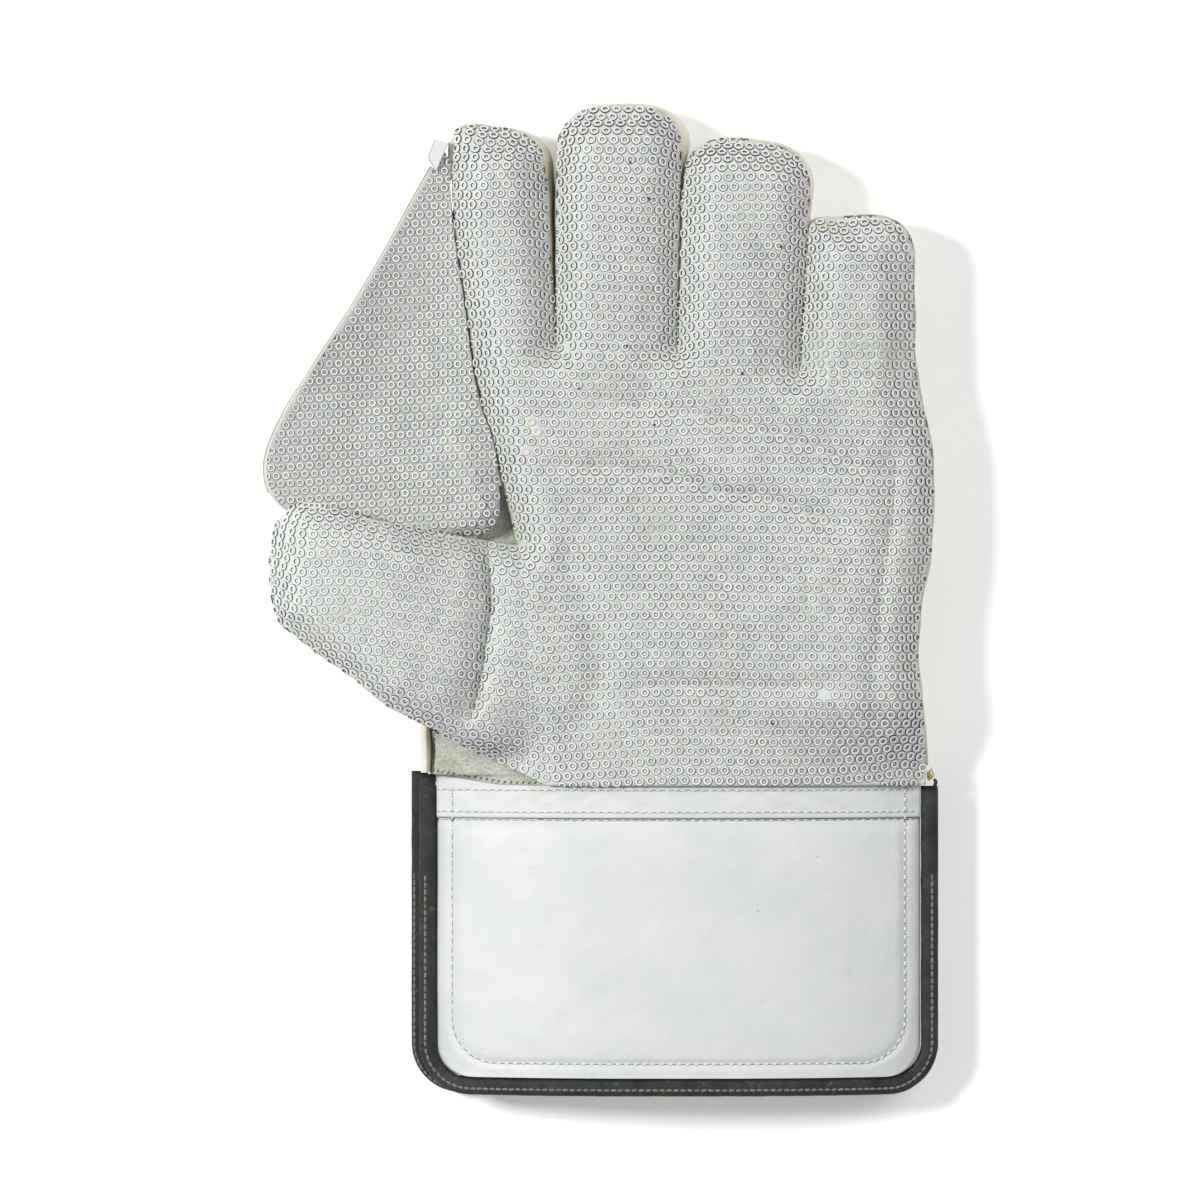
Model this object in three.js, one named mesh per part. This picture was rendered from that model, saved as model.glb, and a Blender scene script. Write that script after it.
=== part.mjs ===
import * as THREE from "three";

// A wicketkeeping glove for the left hand, lying on its back with the palm up.
// Millimetres. X runs from the thumb side to the little finger, Y towards the fingertips,
// and Z up from the surface that the back of the glove rests on.

// Driving dimensions
const HAND_LENGTH = 226; // cuff seam to the tip of the middle finger
const PALM_WIDTH = 138;
const THUMB_LENGTH = 82;
const THUMB_WIDTH = 62;
const CUFF_LENGTH = 103;
const CUFF_FLARE = 35; // how much wider the cuff is than the palm
const HAND_HEIGHT = 38; // resting surface to the top of the palm
const THUMB_LIFT = 10; // how far the thumb stands above the palm
const CUFF_HEIGHT = 36;
const CUFF_SEAM_HEIGHT = 14; // where the two cuff panels meet at the sides
const EDGE_DROP = 8; // how far the rubber falls away towards its edges
const EDGE_ROUND = 13; // how far in from the edge it starts to fall

const RUBBER = 1.8;
const LEATHER = 1.3;
const BACK_PAD = 7;
const THUMB_PAD = 5;
const CUFF_PAD = 8;
const CUFF_BACK_PAD = 4.2;
const CUFF_RIM = 3; // thickness of a cuff panel at its bound edge
const CUFF_RIM_DIP = 0.8; // how far the front panel's rim lies below its padded middle
const BAND_LENGTH = 9.6;
const BAND_THICKNESS = 2.6;
const BAND_TUCK = 3; // band hidden under the rubber
const BINDING_WIDTH = 5.6;
const BINDING_THICKNESS = 4;
const CUFF_CORNER = 17;
const WALL_INSET = 1.7; // rubber overhanging the leather walls
const THUMB_OVERHANG = 5; // the same along the top of the thumb
const WEB_TUCK = 2.2; // web hidden under the thumb
const WEB_SAG = 3;
const WEB_DROP = 1.5; // web below the thumb's rubber where it is sewn in
const EDGING = 1; // leather showing past the rubber of the web
const BACK_SHIFT = 4; // how far the finger backs lie towards the little finger
const CUFF_PEEK = 2.6; // how far the back panel of the cuff shows past the front one
const GAP = 0.3; // clearance between sewn pieces
const SEAM_GAP = 0.4; // clearance below a curved piece of rubber
const TIP_GAP = 0.7; // more clearance where the rubber folds over a fingertip

const WALL_BULGE = 0.7; // how far the soft leather walls swell outwards
const BACK_ROUND = 6; // how far in from its edge a padded back starts to curve up
const SIDE_STEP = 2; // palm's outer edge, in from the edge of the cuff

const SEAM_Y = (CUFF_LENGTH - HAND_LENGTH) / 2;
const CUFF_RIGHT = 112.7;
const CUFF_WIDTH = PALM_WIDTH + CUFF_FLARE;
const CUFF_LEFT = CUFF_RIGHT - CUFF_WIDTH;
const HAND_RIGHT = CUFF_RIGHT - SIDE_STEP;

// Outline of the palm: both edges as shares of PALM_WIDTH, at shares of HAND_LENGTH
const PALM_EDGES = [
  { along: 0.0, inner: 0.07, outer: 0.984 },
  { along: 0.07, inner: 0.054, outer: 0.98 },
  { along: 0.133, inner: 0.041, outer: 0.968 },
  { along: 0.19, inner: 0.03, outer: 0.96 },
  { along: 0.24, inner: 0.02, outer: 0.964 },
  { along: 0.293, inner: 0.011, outer: 0.975 },
  { along: 0.346, inner: 0.002, outer: 0.992 },
  { along: 0.42, inner: -0.024, outer: 0.997 },
  { along: 0.492, inner: -0.056, outer: 0.994 },
  { along: 0.549, inner: -0.08, outer: 0.976 },
  { along: 0.6, inner: -0.098, outer: 0.958 },
  { along: 0.66, inner: -0.114, outer: 0.951 },
];

// Where the fingers part, from the thumb side outwards
const CROTCHES = [
  { across: -0.112, along: 0.649 },
  { across: 0.091, along: 0.649 },
  { across: 0.3825, along: 0.646 },
  { across: 0.674, along: 0.616 },
  { across: 0.952, along: 0.64 },
];

// Fingers: tip edges, height of the shoulders and of the tip, how far the tip leans,
// how square each corner of the tip is, and from where and how far the back lies off the face
const FINGERS = [
  { name: "index", left: -0.157, right: 0.064, shoulder: 0.905, tip: 0.966, lean: -0.012,
    leftSquare: 6, rightSquare: 2.4, bow: -0.014, shiftFrom: 0.7, shift: 0.72, columns: 4, rows: 10 },
  { name: "middle", left: 0.096, right: 0.391, shoulder: 0.93, tip: 1.0, lean: 0,
    leftSquare: 2.5, rightSquare: 2.7, bow: 0, shiftFrom: 0.86, shift: 1, columns: 5, rows: 12 },
  { name: "ring", left: 0.399, right: 0.702, shoulder: 0.872, tip: 0.949, lean: -0.018,
    leftSquare: 2.6, rightSquare: 2.6, bow: 0, shiftFrom: 0.83, shift: 0.8, columns: 5, rows: 11 },
  { name: "little", left: 0.696, right: 0.95, shoulder: 0.778, tip: 0.836, lean: 0.01,
    leftSquare: 7, rightSquare: 2.4, bow: 0, shiftFrom: 0.8, shift: 0, columns: 5, rows: 7 },
];
const SHIFT_RANGE = 0.12; // share of HAND_LENGTH over which a finger's back moves off its face
const SETTLE_RANGE = 0.12; // share of HAND_LENGTH over which the rubber settles onto the cuff
const THUMB_ZONE = 0.43; // share of HAND_LENGTH up to which the thumb lifts the rubber

// Outline of the thumb: distance from its root as shares of THUMB_LENGTH, and both edges
// as shares of THUMB_WIDTH above the thumb crotch
const THUMB_EDGES = [
  { out: 0, topReach: 0, lowReach: -0.113, top: 0, low: -1.278 },
  { out: 0.15, topReach: 0.15, lowReach: 0.053, top: 0.027, low: -1.171 },
  { out: 0.3, topReach: 0.3, lowReach: 0.231, top: 0.062, low: -1.064 },
  { out: 0.45, topReach: 0.457, lowReach: 0.381, top: 0.102, low: -0.957 },
  { out: 0.6, topReach: 0.611, lowReach: 0.534, top: 0.147, low: -0.85 },
  { out: 0.75, topReach: 0.761, lowReach: 0.684, top: 0.2, low: -0.69 },
  { out: 0.88, topReach: 0.887, lowReach: 0.818, top: 0.214, low: -0.57 },
  { out: 1, topReach: 0.972, lowReach: 0.962, top: 0.125, low: -0.42 },
];
const THUMB_TIP_BULGE = 0.035; // roundness of the thumb's end, share of THUMB_LENGTH
const THUMB_COLUMNS = 12;
const PALM_ROWS = 22;
const THUMB_ROWS = 12;

// Side views: heights as shares of HAND_HEIGHT and of THUMB_LIFT
const PALM_SIDE = [
  { along: 0, height: 0.98 },
  { along: 0.14, height: 1.0 },
  { along: 0.38, height: 0.93 },
  { along: 0.62, height: 0.92 },
  { along: 0.84, height: 0.91 },
  { along: 1.0, height: 0.82 },
];
const THUMB_SIDE = [
  { along: 0, lift: 0 },
  { along: 0.25, lift: 0.45 },
  { along: 0.55, lift: 1 },
  { along: 0.8, lift: 0.95 },
  { along: 1.0, lift: 0.55 },
];

// Creases of the rubber: depth, half width, and their course as shares across and along
const FOLDS = [
  { name: "thumb root", depth: 2.6, width: 5,
    course: [[-0.07, 0.346], [-0.065, 0.268], [-0.086, 0.17], [-0.122, 0.107]] },
  { name: "ball of the thumb", depth: 1.8, width: 6,
    course: [[0.127, 0.325], [0.189, 0.24], [0.197, 0.168], [0.161, 0.081]] },
  { name: "upper palm crease", depth: 0.8, width: 4.5,
    course: [[0.209, 0.56], [0.429, 0.545], [0.655, 0.51], [0.859, 0.453]] },
  { name: "long palm crease", depth: 1.1, width: 4.5,
    course: [[0.103, 0.467], [0.336, 0.46], [0.48, 0.432], [0.626, 0.418], [0.772, 0.378]] },
  { name: "short palm crease", depth: 0.6, width: 4,
    course: [[0.324, 0.36], [0.451, 0.328], [0.499, 0.303]] },
  { name: "upper heel crease", depth: 0.6, width: 4, course: [[0.3, 0.147], [0.743, 0.147]] },
  { name: "lower heel crease", depth: 0.6, width: 4, course: [[0.36, 0.076], [0.8, 0.076]] },
  { name: "outer rim", depth: 1.5, width: 4.5,
    course: [[0.787, 0.813], [0.894, 0.79], [0.916, 0.712], [0.909, 0.488], [0.902, 0.396],
      [0.875, 0.283], [0.863, 0.168], [0.87, 0.097]] },
  { name: "middle finger", depth: 0.9, width: 4, course: [[0.307, 0.822], [0.314, 0.58]] },
  { name: "ring finger", depth: 0.9, width: 4, course: [[0.609, 0.81], [0.602, 0.601]] },
  { name: "index tip", depth: 1.1, width: 3.5, course: [[-0.132, 0.936], [0.007, 0.936]] },
  { name: "middle tip", depth: 1.1, width: 3.5, course: [[0.163, 0.979], [0.355, 0.979]] },
  { name: "ring tip", depth: 1.1, width: 3.5,
    course: [[0.475, 0.945], [0.595, 0.9275], [0.655, 0.916]] },
];

// The web from its lower edge up: where each row starts and ends along the hand, how far it
// reaches from the index finger (shares of THUMB_LENGTH), how far it covers the palm
// (shares of PALM_WIDTH), and its heights at both ends (shares of HAND_HEIGHT)
const WEB_ROWS = [
  { up: 0, right: 0.362, left: 0.4, reach: 0.82, cover: -0.075, leftHeight: 0.78, rise: 0.06 },
  { up: 0.06, right: 0.378, left: 0.412, reach: 0.93, cover: -0.042, leftHeight: 0.74, rise: 0.105 },
  { up: 0.12, right: 0.409, left: 0.441, reach: 1.0, cover: 0.006, leftHeight: 0.7, rise: 0.137 },
  { up: 0.2, right: 0.463, left: 0.489, reach: 0.965, cover: 0.012, leftHeight: 0.67, rise: 0.137 },
  { up: 0.3, right: 0.513, left: 0.551, reach: 0.838, cover: 0.01, leftHeight: 0.66, rise: 0.117 },
  { up: 0.42, right: 0.57, left: 0.607, reach: 0.69, cover: -0.005, leftHeight: 0.66, rise: 0.02 },
  { up: 0.6, right: 0.661, left: 0.686, reach: 0.502, cover: -0.005, leftHeight: 0.68, rise: 0 },
  { up: 0.8, right: 0.78, left: 0.81, reach: 0.25, cover: -0.005, leftHeight: 0.7, rise: 0 },
  { up: 1, right: 0.915, left: 0.93, reach: 0.03, cover: -0.005, leftHeight: 0.7, rise: 0 },
];
const WEB_ROW_COUNT = 16;
const WEB_COLUMNS = 9;

// Left edge of the padded back at the wrist and thumb root, shares of PALM_WIDTH
const BACK_INNER = [
  { along: 0, inner: -0.207 },
  { along: 0.03, inner: -0.209 },
  { along: 0.09, inner: -0.215 },
  { along: 0.16, inner: -0.185 },
  { along: 0.24, inner: -0.12 },
  { along: 0.31, inner: -0.062 },
  { along: 0.36, inner: -0.025 },
  { along: 0.45, inner: -0.045 },
  { along: 0.55, inner: -0.082 },
  { along: 0.66, inner: -0.115 },
];

// Small helpers
const clamp = (value, low = 0, high = 1) => Math.min(high, Math.max(low, value));
const lerp = (a, b, t) => a + (b - a) * t;
const mix = (p, q, t) => p.map((value, i) => lerp(value, q[i], t));
const smooth = (t) => clamp(t) ** 2 * (3 - 2 * clamp(t));
const handX = (across) => HAND_RIGHT + (across - 1) * PALM_WIDTH;
const handY = (along) => SEAM_Y + along * HAND_LENGTH;
const alongHand = (y) => (y - SEAM_Y) / HAND_LENGTH;

// Reads a column of a table between its rows, as a smooth curve through them
function read(table, key, column, at) {
  const last = table.length - 1;
  const place = clamp(at, table[0][key], table[last][key]);
  let i = 0;
  while (i < last - 1 && place > table[i + 1][key]) i += 1;
  const slope = (j) => {
    const before = table[Math.max(0, j - 1)];
    const after = table[Math.min(last, j + 1)];
    return (after[column] - before[column]) / (after[key] - before[key]);
  };
  const step = table[i + 1][key] - table[i][key];
  const t = (place - table[i][key]) / step;
  const a = table[i][column];
  const b = table[i + 1][column];
  const hermite = (2 * t ** 3 - 3 * t ** 2 + 1) * a + (3 * t ** 2 - 2 * t ** 3) * b;
  const bend = (t ** 3 - 2 * t ** 2 + t) * slope(i) + (t ** 3 - t ** 2) * slope(i + 1);
  return hermite + step * bend;
}

// Plan of the palm sheet
function palmPoint(row, across) {
  const crotch = CROTCHES.findIndex((c, i) => i > 0 && across <= c.across + 1e-9);
  const a = CROTCHES[crotch - 1];
  const b = CROTCHES[crotch];
  const part = (across - a.across) / (b.across - a.across);
  const top = lerp(a.along, b.along, part);
  const along = (top * row) / PALM_ROWS;
  const share = (across - CROTCHES[0].across) / (CROTCHES[4].across - CROTCHES[0].across);
  const inner = read(PALM_EDGES, "along", "inner", along);
  const outer = read(PALM_EDGES, "along", "outer", along);
  return [handX(lerp(inner, outer, share)), handY(along)];
}

function fingerPoint(finger, base, up, share) {
  const side = share < 0.5 ? finger.leftSquare : finger.rightSquare;
  const arch = (1 - Math.abs(2 * share - 1) ** side) ** (1 / side);
  const tip = lerp(finger.shoulder, finger.tip, arch) + finger.lean * (share - 0.5) * arch;
  const lean = finger.bow * 4 * up * (1 - up) * (1 - share);
  const tipX = handX(lerp(finger.left, finger.right, share) + lean);
  return [lerp(base[0], tipX, up), lerp(base[1], handY(tip), up)];
}

const THUMB_CROTCH = palmPoint(THUMB_ROWS, CROTCHES[0].across);

function thumbEdge(out, side) {
  const reach = read(THUMB_EDGES, "out", side === "top" ? "topReach" : "lowReach", out);
  const up = read(THUMB_EDGES, "out", side, out);
  return [THUMB_CROTCH[0] - reach * THUMB_LENGTH, THUMB_CROTCH[1] + up * THUMB_WIDTH];
}

// out runs from the palm to the thumb's tip, up from its lower edge to its top edge
function thumbPoint(out, up) {
  const point = mix(thumbEdge(out, "low"), thumbEdge(out, "top"), up);
  const root = mix(thumbEdge(0, "low"), thumbEdge(0, "top"), up);
  const palm = palmPoint(up * THUMB_ROWS, CROTCHES[0].across);
  const bulge = THUMB_TIP_BULGE * THUMB_LENGTH * 4 * up * (1 - up) * out ** 6;
  const hold = (1 - out) ** 2;
  return [point[0] + (palm[0] - root[0]) * hold - bulge, point[1] + (palm[1] - root[1]) * hold];
}

// A sheet is a list of plan points with the triangles that join them
function newSheet() {
  return { points: [], faces: [] };
}

function addPoint(sheet, point) {
  sheet.points.push(point);
  return sheet.points.length - 1;
}

// Joins a table of point numbers, rows going up and columns going right
function addQuads(sheet, table) {
  for (let r = 0; r + 1 < table.length; r += 1) {
    for (let c = 0; c + 1 < table[r].length; c += 1) {
      sheet.faces.push([table[r][c], table[r][c + 1], table[r + 1][c + 1]]);
      sheet.faces.push([table[r][c], table[r + 1][c + 1], table[r + 1][c]]);
    }
  }
}

function gridSheet(rows, columns, at) {
  const sheet = newSheet();
  const table = [];
  for (let r = 0; r <= rows; r += 1) {
    table.push([]);
    for (let c = 0; c <= columns; c += 1) {
      table[r].push(addPoint(sheet, at(r / rows, c / columns)));
    }
  }
  addQuads(sheet, table);
  return { sheet, table };
}

// The whole rubber face: palm, fingers and thumb share the points where they meet
function faceSheet() {
  const sheet = newSheet();
  const columns = [];
  FINGERS.forEach((finger, f) => {
    const start = CROTCHES[f].across;
    const end = CROTCHES[f + 1].across;
    for (let c = 0; c < finger.columns; c += 1) columns.push(lerp(start, end, c / finger.columns));
  });
  columns.push(CROTCHES[4].across);
  const palm = [];
  for (let r = 0; r <= PALM_ROWS; r += 1) {
    palm.push(columns.map((across) => addPoint(sheet, palmPoint(r, across))));
  }
  addQuads(sheet, palm);
  let first = 0;
  const fingers = {};
  for (const finger of FINGERS) {
    const base = palm[PALM_ROWS].slice(first, first + finger.columns + 1);
    const table = [base];
    for (let r = 1; r <= finger.rows; r += 1) {
      const row = base.map((id, c) =>
        addPoint(sheet, fingerPoint(finger, sheet.points[id], r / finger.rows, c / finger.columns)));
      table.push(row);
    }
    addQuads(sheet, table);
    fingers[finger.name] = table;
    first += finger.columns;
  }
  const thumb = [];
  for (let r = 0; r <= THUMB_ROWS; r += 1) {
    const row = [];
    for (let c = 0; c < THUMB_COLUMNS; c += 1) {
      row.push(addPoint(sheet, thumbPoint(1 - c / THUMB_COLUMNS, r / THUMB_ROWS)));
    }
    row.push(palm[r][0]);
    thumb.push(row);
  }
  addQuads(sheet, thumb);
  return { sheet, palm, fingers, thumb };
}

// Edges that belong to one triangle only, in the direction of that triangle
function rimOf(faces) {
  const count = new Map();
  const edges = faces.flatMap(([a, b, c]) => [[a, b], [b, c], [c, a]]);
  for (const [a, b] of edges) {
    const key = a < b ? `${a},${b}` : `${b},${a}`;
    count.set(key, (count.get(key) ?? 0) + 1);
  }
  return edges.filter(([a, b]) => count.get(a < b ? `${a},${b}` : `${b},${a}`) === 1);
}

function distanceTo(x, y, [ax, ay], [bx, by]) {
  const length = (bx - ax) ** 2 + (by - ay) ** 2;
  const t = clamp(((x - ax) * (bx - ax) + (y - ay) * (by - ay)) / length);
  return Math.hypot(x - ax - t * (bx - ax), y - ay - t * (by - ay));
}

function distanceToCourse(x, y, points) {
  let nearest = Infinity;
  for (let i = 0; i + 1 < points.length; i += 1) {
    nearest = Math.min(nearest, distanceTo(x, y, points[i], points[i + 1]));
  }
  return nearest;
}

const face = faceSheet();
const faceRim = rimOf(face.sheet.faces)
  .map(([a, b]) => [face.sheet.points[a], face.sheet.points[b]])
  .filter(([a, b]) => Math.min(a[1], b[1]) > SEAM_Y + 0.01);
const foldCourses = FOLDS.map((fold) => ({
  ...fold,
  course: fold.course.map(([across, along]) => [handX(across), handY(along)]),
}));

// Outer surface of the cuff's two panels: an arch between the side bindings. The power says
// how square the arch is, and the back panel lies flat over most of its width.
const FRONT_ARCH = 2.6;
const BACK_ARCH = 4;
const BACK_FLAT = 1.15;

function arch(x, left, power) {
  const inside = left + BINDING_WIDTH;
  const share = clamp((x - inside) / (CUFF_RIGHT - BINDING_WIDTH - inside));
  return 1 - Math.abs(2 * share - 1) ** power;
}

function cuffFrontHeight(x) {
  const low = CUFF_SEAM_HEIGHT + CUFF_RIM + GAP;
  return lerp(low, CUFF_HEIGHT, arch(x, CUFF_LEFT, FRONT_ARCH));
}

function cuffBackHeight(x) {
  const low = CUFF_SEAM_HEIGHT - CUFF_BACK_PAD - GAP;
  return Math.max(0, low * (1 - BACK_FLAT * arch(x, CUFF_LEFT - CUFF_PEEK, BACK_ARCH)));
}

// Height of the top of the rubber anywhere on the palm, fingers and thumb
function faceHeight([x, y]) {
  const along = alongHand(y);
  const root = handX(read(PALM_EDGES, "along", "inner", along));
  const out = clamp((root - x) / THUMB_LENGTH);
  const thumb = along < THUMB_ZONE ? THUMB_LIFT * read(THUMB_SIDE, "along", "lift", out) : 0;
  const body = HAND_HEIGHT * read(PALM_SIDE, "along", "height", along) + thumb;
  const rim = Math.min(...faceRim.map(([a, b]) => distanceTo(x, y, a, b)));
  const edge = EDGE_DROP * (1 - Math.min(1, rim / EDGE_ROUND)) ** 2;
  let creases = 0;
  for (const { depth, width, course } of foldCourses) {
    creases += depth * Math.exp(-((distanceToCourse(x, y, course) / width) ** 2));
  }
  const onCuff = cuffFrontHeight(x) + 2 * SEAM_GAP + RUBBER;
  const settle = smooth((along - BAND_TUCK / HAND_LENGTH) / SETTLE_RANGE);
  const besideCuff = smooth(out / 0.2) * smooth((along - 0.02) / 0.05);
  return lerp(onCuff, body - edge - creases * settle, Math.max(settle, besideCuff));
}

// Solids
function solid(points, faces) {
  const geometry = new THREE.BufferGeometry();
  const flat = faces.flatMap((f) => f.flatMap((i) => points[i]));
  geometry.setAttribute("position", new THREE.Float32BufferAttribute(flat, 3));
  geometry.computeVertexNormals();
  return geometry;
}

// A closed body between an upper and a lower copy of the same sheet
function between(sheet, upper, lower) {
  const count = upper.length;
  const faces = [...sheet.faces];
  sheet.faces.forEach(([a, b, c]) => faces.push([c + count, b + count, a + count]));
  for (const [a, b] of rimOf(sheet.faces)) {
    faces.push([b, a, a + count], [b, a + count, b + count]);
  }
  return solid([...upper, ...lower], faces);
}

// Moves each point of a surface along its normal by the given thickness, downwards
function underside(sheet, upper, thickness) {
  const sums = upper.map(() => new THREE.Vector3());
  for (const [a, b, c] of sheet.faces) {
    const [p, q, r] = [a, b, c].map((i) => new THREE.Vector3(...upper[i]));
    const normal = q.clone().sub(p).cross(r.clone().sub(p));
    [a, b, c].forEach((i) => sums[i].add(normal));
  }
  return upper.map((p, i) => {
    const n = sums[i].normalize();
    return [p[0] - n.x * thickness, p[1] - n.y * thickness, p[2] - n.z * thickness];
  });
}

function sheetSolid(sheet, upper, thickness) {
  return between(sheet, upper, underside(sheet, upper, thickness));
}

// A body swept through rings of equal point count, closed at both ends
function loft(rings) {
  const n = rings[0].length;
  const points = rings.flat();
  const faces = [];
  for (let i = 0; i + 1 < rings.length; i += 1) {
    for (let k = 0; k < n; k += 1) {
      const a = i * n + k;
      const b = i * n + ((k + 1) % n);
      faces.push([a, b, b + n], [a, b + n, a + n]);
    }
  }
  const end = (rings.length - 1) * n;
  for (let k = 1; k + 1 < n; k += 1) {
    faces.push([0, k + 1, k], [end, end + k, end + k + 1]);
  }
  const volume = faces.reduce((sum, f) => {
    const [p, q, r] = f.map((i) => new THREE.Vector3(...points[i]));
    return sum + p.dot(q.cross(r));
  }, 0);
  return solid(points, volume < 0 ? faces.map(([a, b, c]) => [a, c, b]) : faces);
}

const glove = new THREE.Group();

const FINISHES = {
  rubber: { color: 0xc8cdcb, roughness: 0.65 },
  leather: { color: 0xbebca5, roughness: 0.7 },
  suede: { color: 0xbebeaf, roughness: 0.95 },
  white: { color: 0xe4e8e6, roughness: 0.55 },
  binding: { color: 0x3c3e3c, roughness: 0.6 },
};

function add(name, geometry, finish) {
  const material = new THREE.MeshStandardMaterial({ ...FINISHES[finish], metalness: 0 });
  const mesh = new THREE.Mesh(geometry, material);
  mesh.name = name;
  glove.add(mesh);
}

// Rubber face
const faceTop = face.sheet.points.map((p) => [...p, faceHeight(p)]);
const faceUnder = underside(face.sheet, faceTop, RUBBER);
add("palm_face", between(face.sheet, faceTop, faceUnder), "rubber");

// Leather walls stand under the rim of the rubber. A station is a point of that rim with
// the next point inwards, and how far in from the rim the wall stands.
function underRim({ rim, inner, inset, drop = 0 }, across) {
  const a = faceUnder[rim];
  const b = faceUnder[inner];
  const length = Math.hypot(b[0] - a[0], b[1] - a[1], b[2] - a[2]);
  const point = mix(a, b, (inset + across) / length);
  return [point[0], point[1], point[2] - SEAM_GAP - drop];
}

function wall(name, stations, foot) {
  const half = LEATHER / 2;
  const rings = stations.map((station) => {
    const topOut = underRim(station, -half);
    const topIn = underRim(station, half);
    const [footOut, footIn] = foot(station, topOut, topIn);
    const swell = WALL_BULGE / LEATHER;
    const outwards = [(topOut[0] - topIn[0]) * swell, (topOut[1] - topIn[1]) * swell, 0];
    const middle = (p, q) => mix(p, q, 0.5).map((v, i) => v + outwards[i]);
    return [topOut, topIn, middle(topIn, footIn), footIn, footOut, middle(topOut, footOut)];
  });
  add(name, loft(rings), "leather");
}

function backShift([, y], finger) {
  return BACK_SHIFT * finger.shift * smooth((alongHand(y) - finger.shiftFrom) / SHIFT_RANGE);
}

// The foot of a finger or palm wall stands on the padded back
function footOnBack(station, topOut, topIn) {
  const shift = station.finger ? backShift(topOut, station.finger) : 0;
  const down = (p) => [p[0] + shift, p[1], BACK_PAD + SEAM_GAP];
  return [down(topOut), down(topIn)];
}

function fingerRun(name, side) {
  const table = face.fingers[name];
  const finger = FINGERS.find((row) => row.name === name);
  const columns = table[0].length - 1;
  const rows = table.length - 1;
  const edge = side === "left" ? 0 : columns;
  const inwards = side === "left" ? 1 : -1;
  const run = [];
  for (let r = 1; r < rows; r += 1) {
    const drop = r + 1 < rows ? 0 : TIP_GAP;
    run.push({ rim: table[r][edge], inner: table[r][edge + inwards], inset: WALL_INSET, drop, finger });
  }
  const top = table[rows];
  const below = table[rows - 1];
  const tip = { inset: WALL_INSET, drop: TIP_GAP, finger };
  run.push({ rim: top[edge], inner: below[edge + inwards], ...tip });
  const middle = Math.floor(columns / 2) + (side === "left" ? 0 : 1);
  for (let c = edge + inwards; side === "left" ? c <= middle : c >= middle; c += inwards) {
    run.push({ rim: top[c], inner: below[c], ...tip });
  }
  return run;
}

function fourchette(left, right) {
  const crotch = face.fingers[right][0][0];
  const row = face.palm[PALM_ROWS - 1];
  const column = face.palm[PALM_ROWS].indexOf(crotch);
  const turn = [column - 1, column, column + 1].map((c) => ({
    rim: crotch, inner: row[c], inset: WALL_INSET,
  }));
  const stations = [...fingerRun(left, "right").reverse(), ...turn, ...fingerRun(right, "left")];
  wall(`fourchette_${left}_${right}`, stations, footOnBack);
}

function palmRun(side, from, to) {
  const edge = side === "left" ? 0 : face.palm[0].length - 1;
  const next = side === "left" ? 1 : edge - 1;
  const run = [];
  for (let r = from; r <= to; r += 1) {
    run.push({ rim: face.palm[r][edge], inner: face.palm[r][next], inset: WALL_INSET });
  }
  return run;
}

const indexSide = [...palmRun("left", THUMB_ROWS, PALM_ROWS), ...fingerRun("index", "left")];
const outerSide = [...palmRun("right", 1, PALM_ROWS), ...fingerRun("little", "right")];
wall("index_side_wall", indexSide, footOnBack);
fourchette("index", "middle");
fourchette("middle", "ring");
fourchette("ring", "little");
wall("outer_side_wall", outerSide, footOnBack);

// Padded back of the hand and of each finger, flat where it rests
function backSolid(sheet, rise) {
  const rim = rimOf(sheet.faces).map(([a, b]) => [sheet.points[a], sheet.points[b]]);
  const bottom = sheet.points.map(([x, y]) => {
    const near = Math.min(...rim.map(([a, b]) => distanceTo(x, y, a, b)));
    return [x, y, rise * (1 - Math.min(1, near / BACK_ROUND)) ** 2];
  });
  return between(sheet, sheet.points.map((p) => [...p, BACK_PAD]), bottom);
}

const backHand = gridSheet(14, 12, (up, share) => {
  const across = lerp(CROTCHES[0].across, CROTCHES[4].across, share);
  const top = palmPoint(PALM_ROWS, across);
  const along = lerp(GAP / HAND_LENGTH, alongHand(top[1]) - GAP / HAND_LENGTH, up);
  const inner = read(BACK_INNER, "along", "inner", along);
  const outer = read(PALM_EDGES, "along", "outer", along);
  return [handX(lerp(inner, outer, share)), handY(along)];
});
add("back_hand", backSolid(backHand.sheet, BACK_PAD * 0.5), "leather");

FINGERS.forEach((finger, f) => {
  const { sheet } = gridSheet(finger.rows - 1, finger.columns + 1, (up, share) => {
    const across = lerp(CROTCHES[f].across, CROTCHES[f + 1].across, share);
    const foot = palmPoint(PALM_ROWS, across);
    const base = [foot[0], foot[1] + GAP];
    const trim = (f > 0 ? 1 - 2 * share : 0.5 - share) * GAP;
    const [x, y] = fingerPoint(finger, base, up, share);
    return [x + trim + backShift([x, y], finger), y];
  });
  add(`finger_back_${finger.name}`, backSolid(sheet, BACK_PAD * 0.55), "leather");
});

// Padded back of the thumb: starts on the rim of the hand's back and rises to the tip
const THUMB_BACK = { rootTop: 0.1, rootLow: 0.42, tip: 0.93, low: 0.12, top: 0.86 };
const THUMB_BACK_RISE = 1.1; // share of THUMB_LIFT
const THUMB_BACK_RIM = 1 / 6; // share of its length and width that curves up at the rim

function thumbBackPlan(out, up) {
  const root = lerp(THUMB_BACK.rootLow, THUMB_BACK.rootTop, up);
  return thumbPoint(lerp(root, THUMB_BACK.tip, out), lerp(THUMB_BACK.low, THUMB_BACK.top, up));
}

function thumbBackHeight(out) {
  return BACK_PAD + SEAM_GAP + THUMB_LIFT * THUMB_BACK_RISE * smooth(out * 0.9 + 0.02);
}

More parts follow.
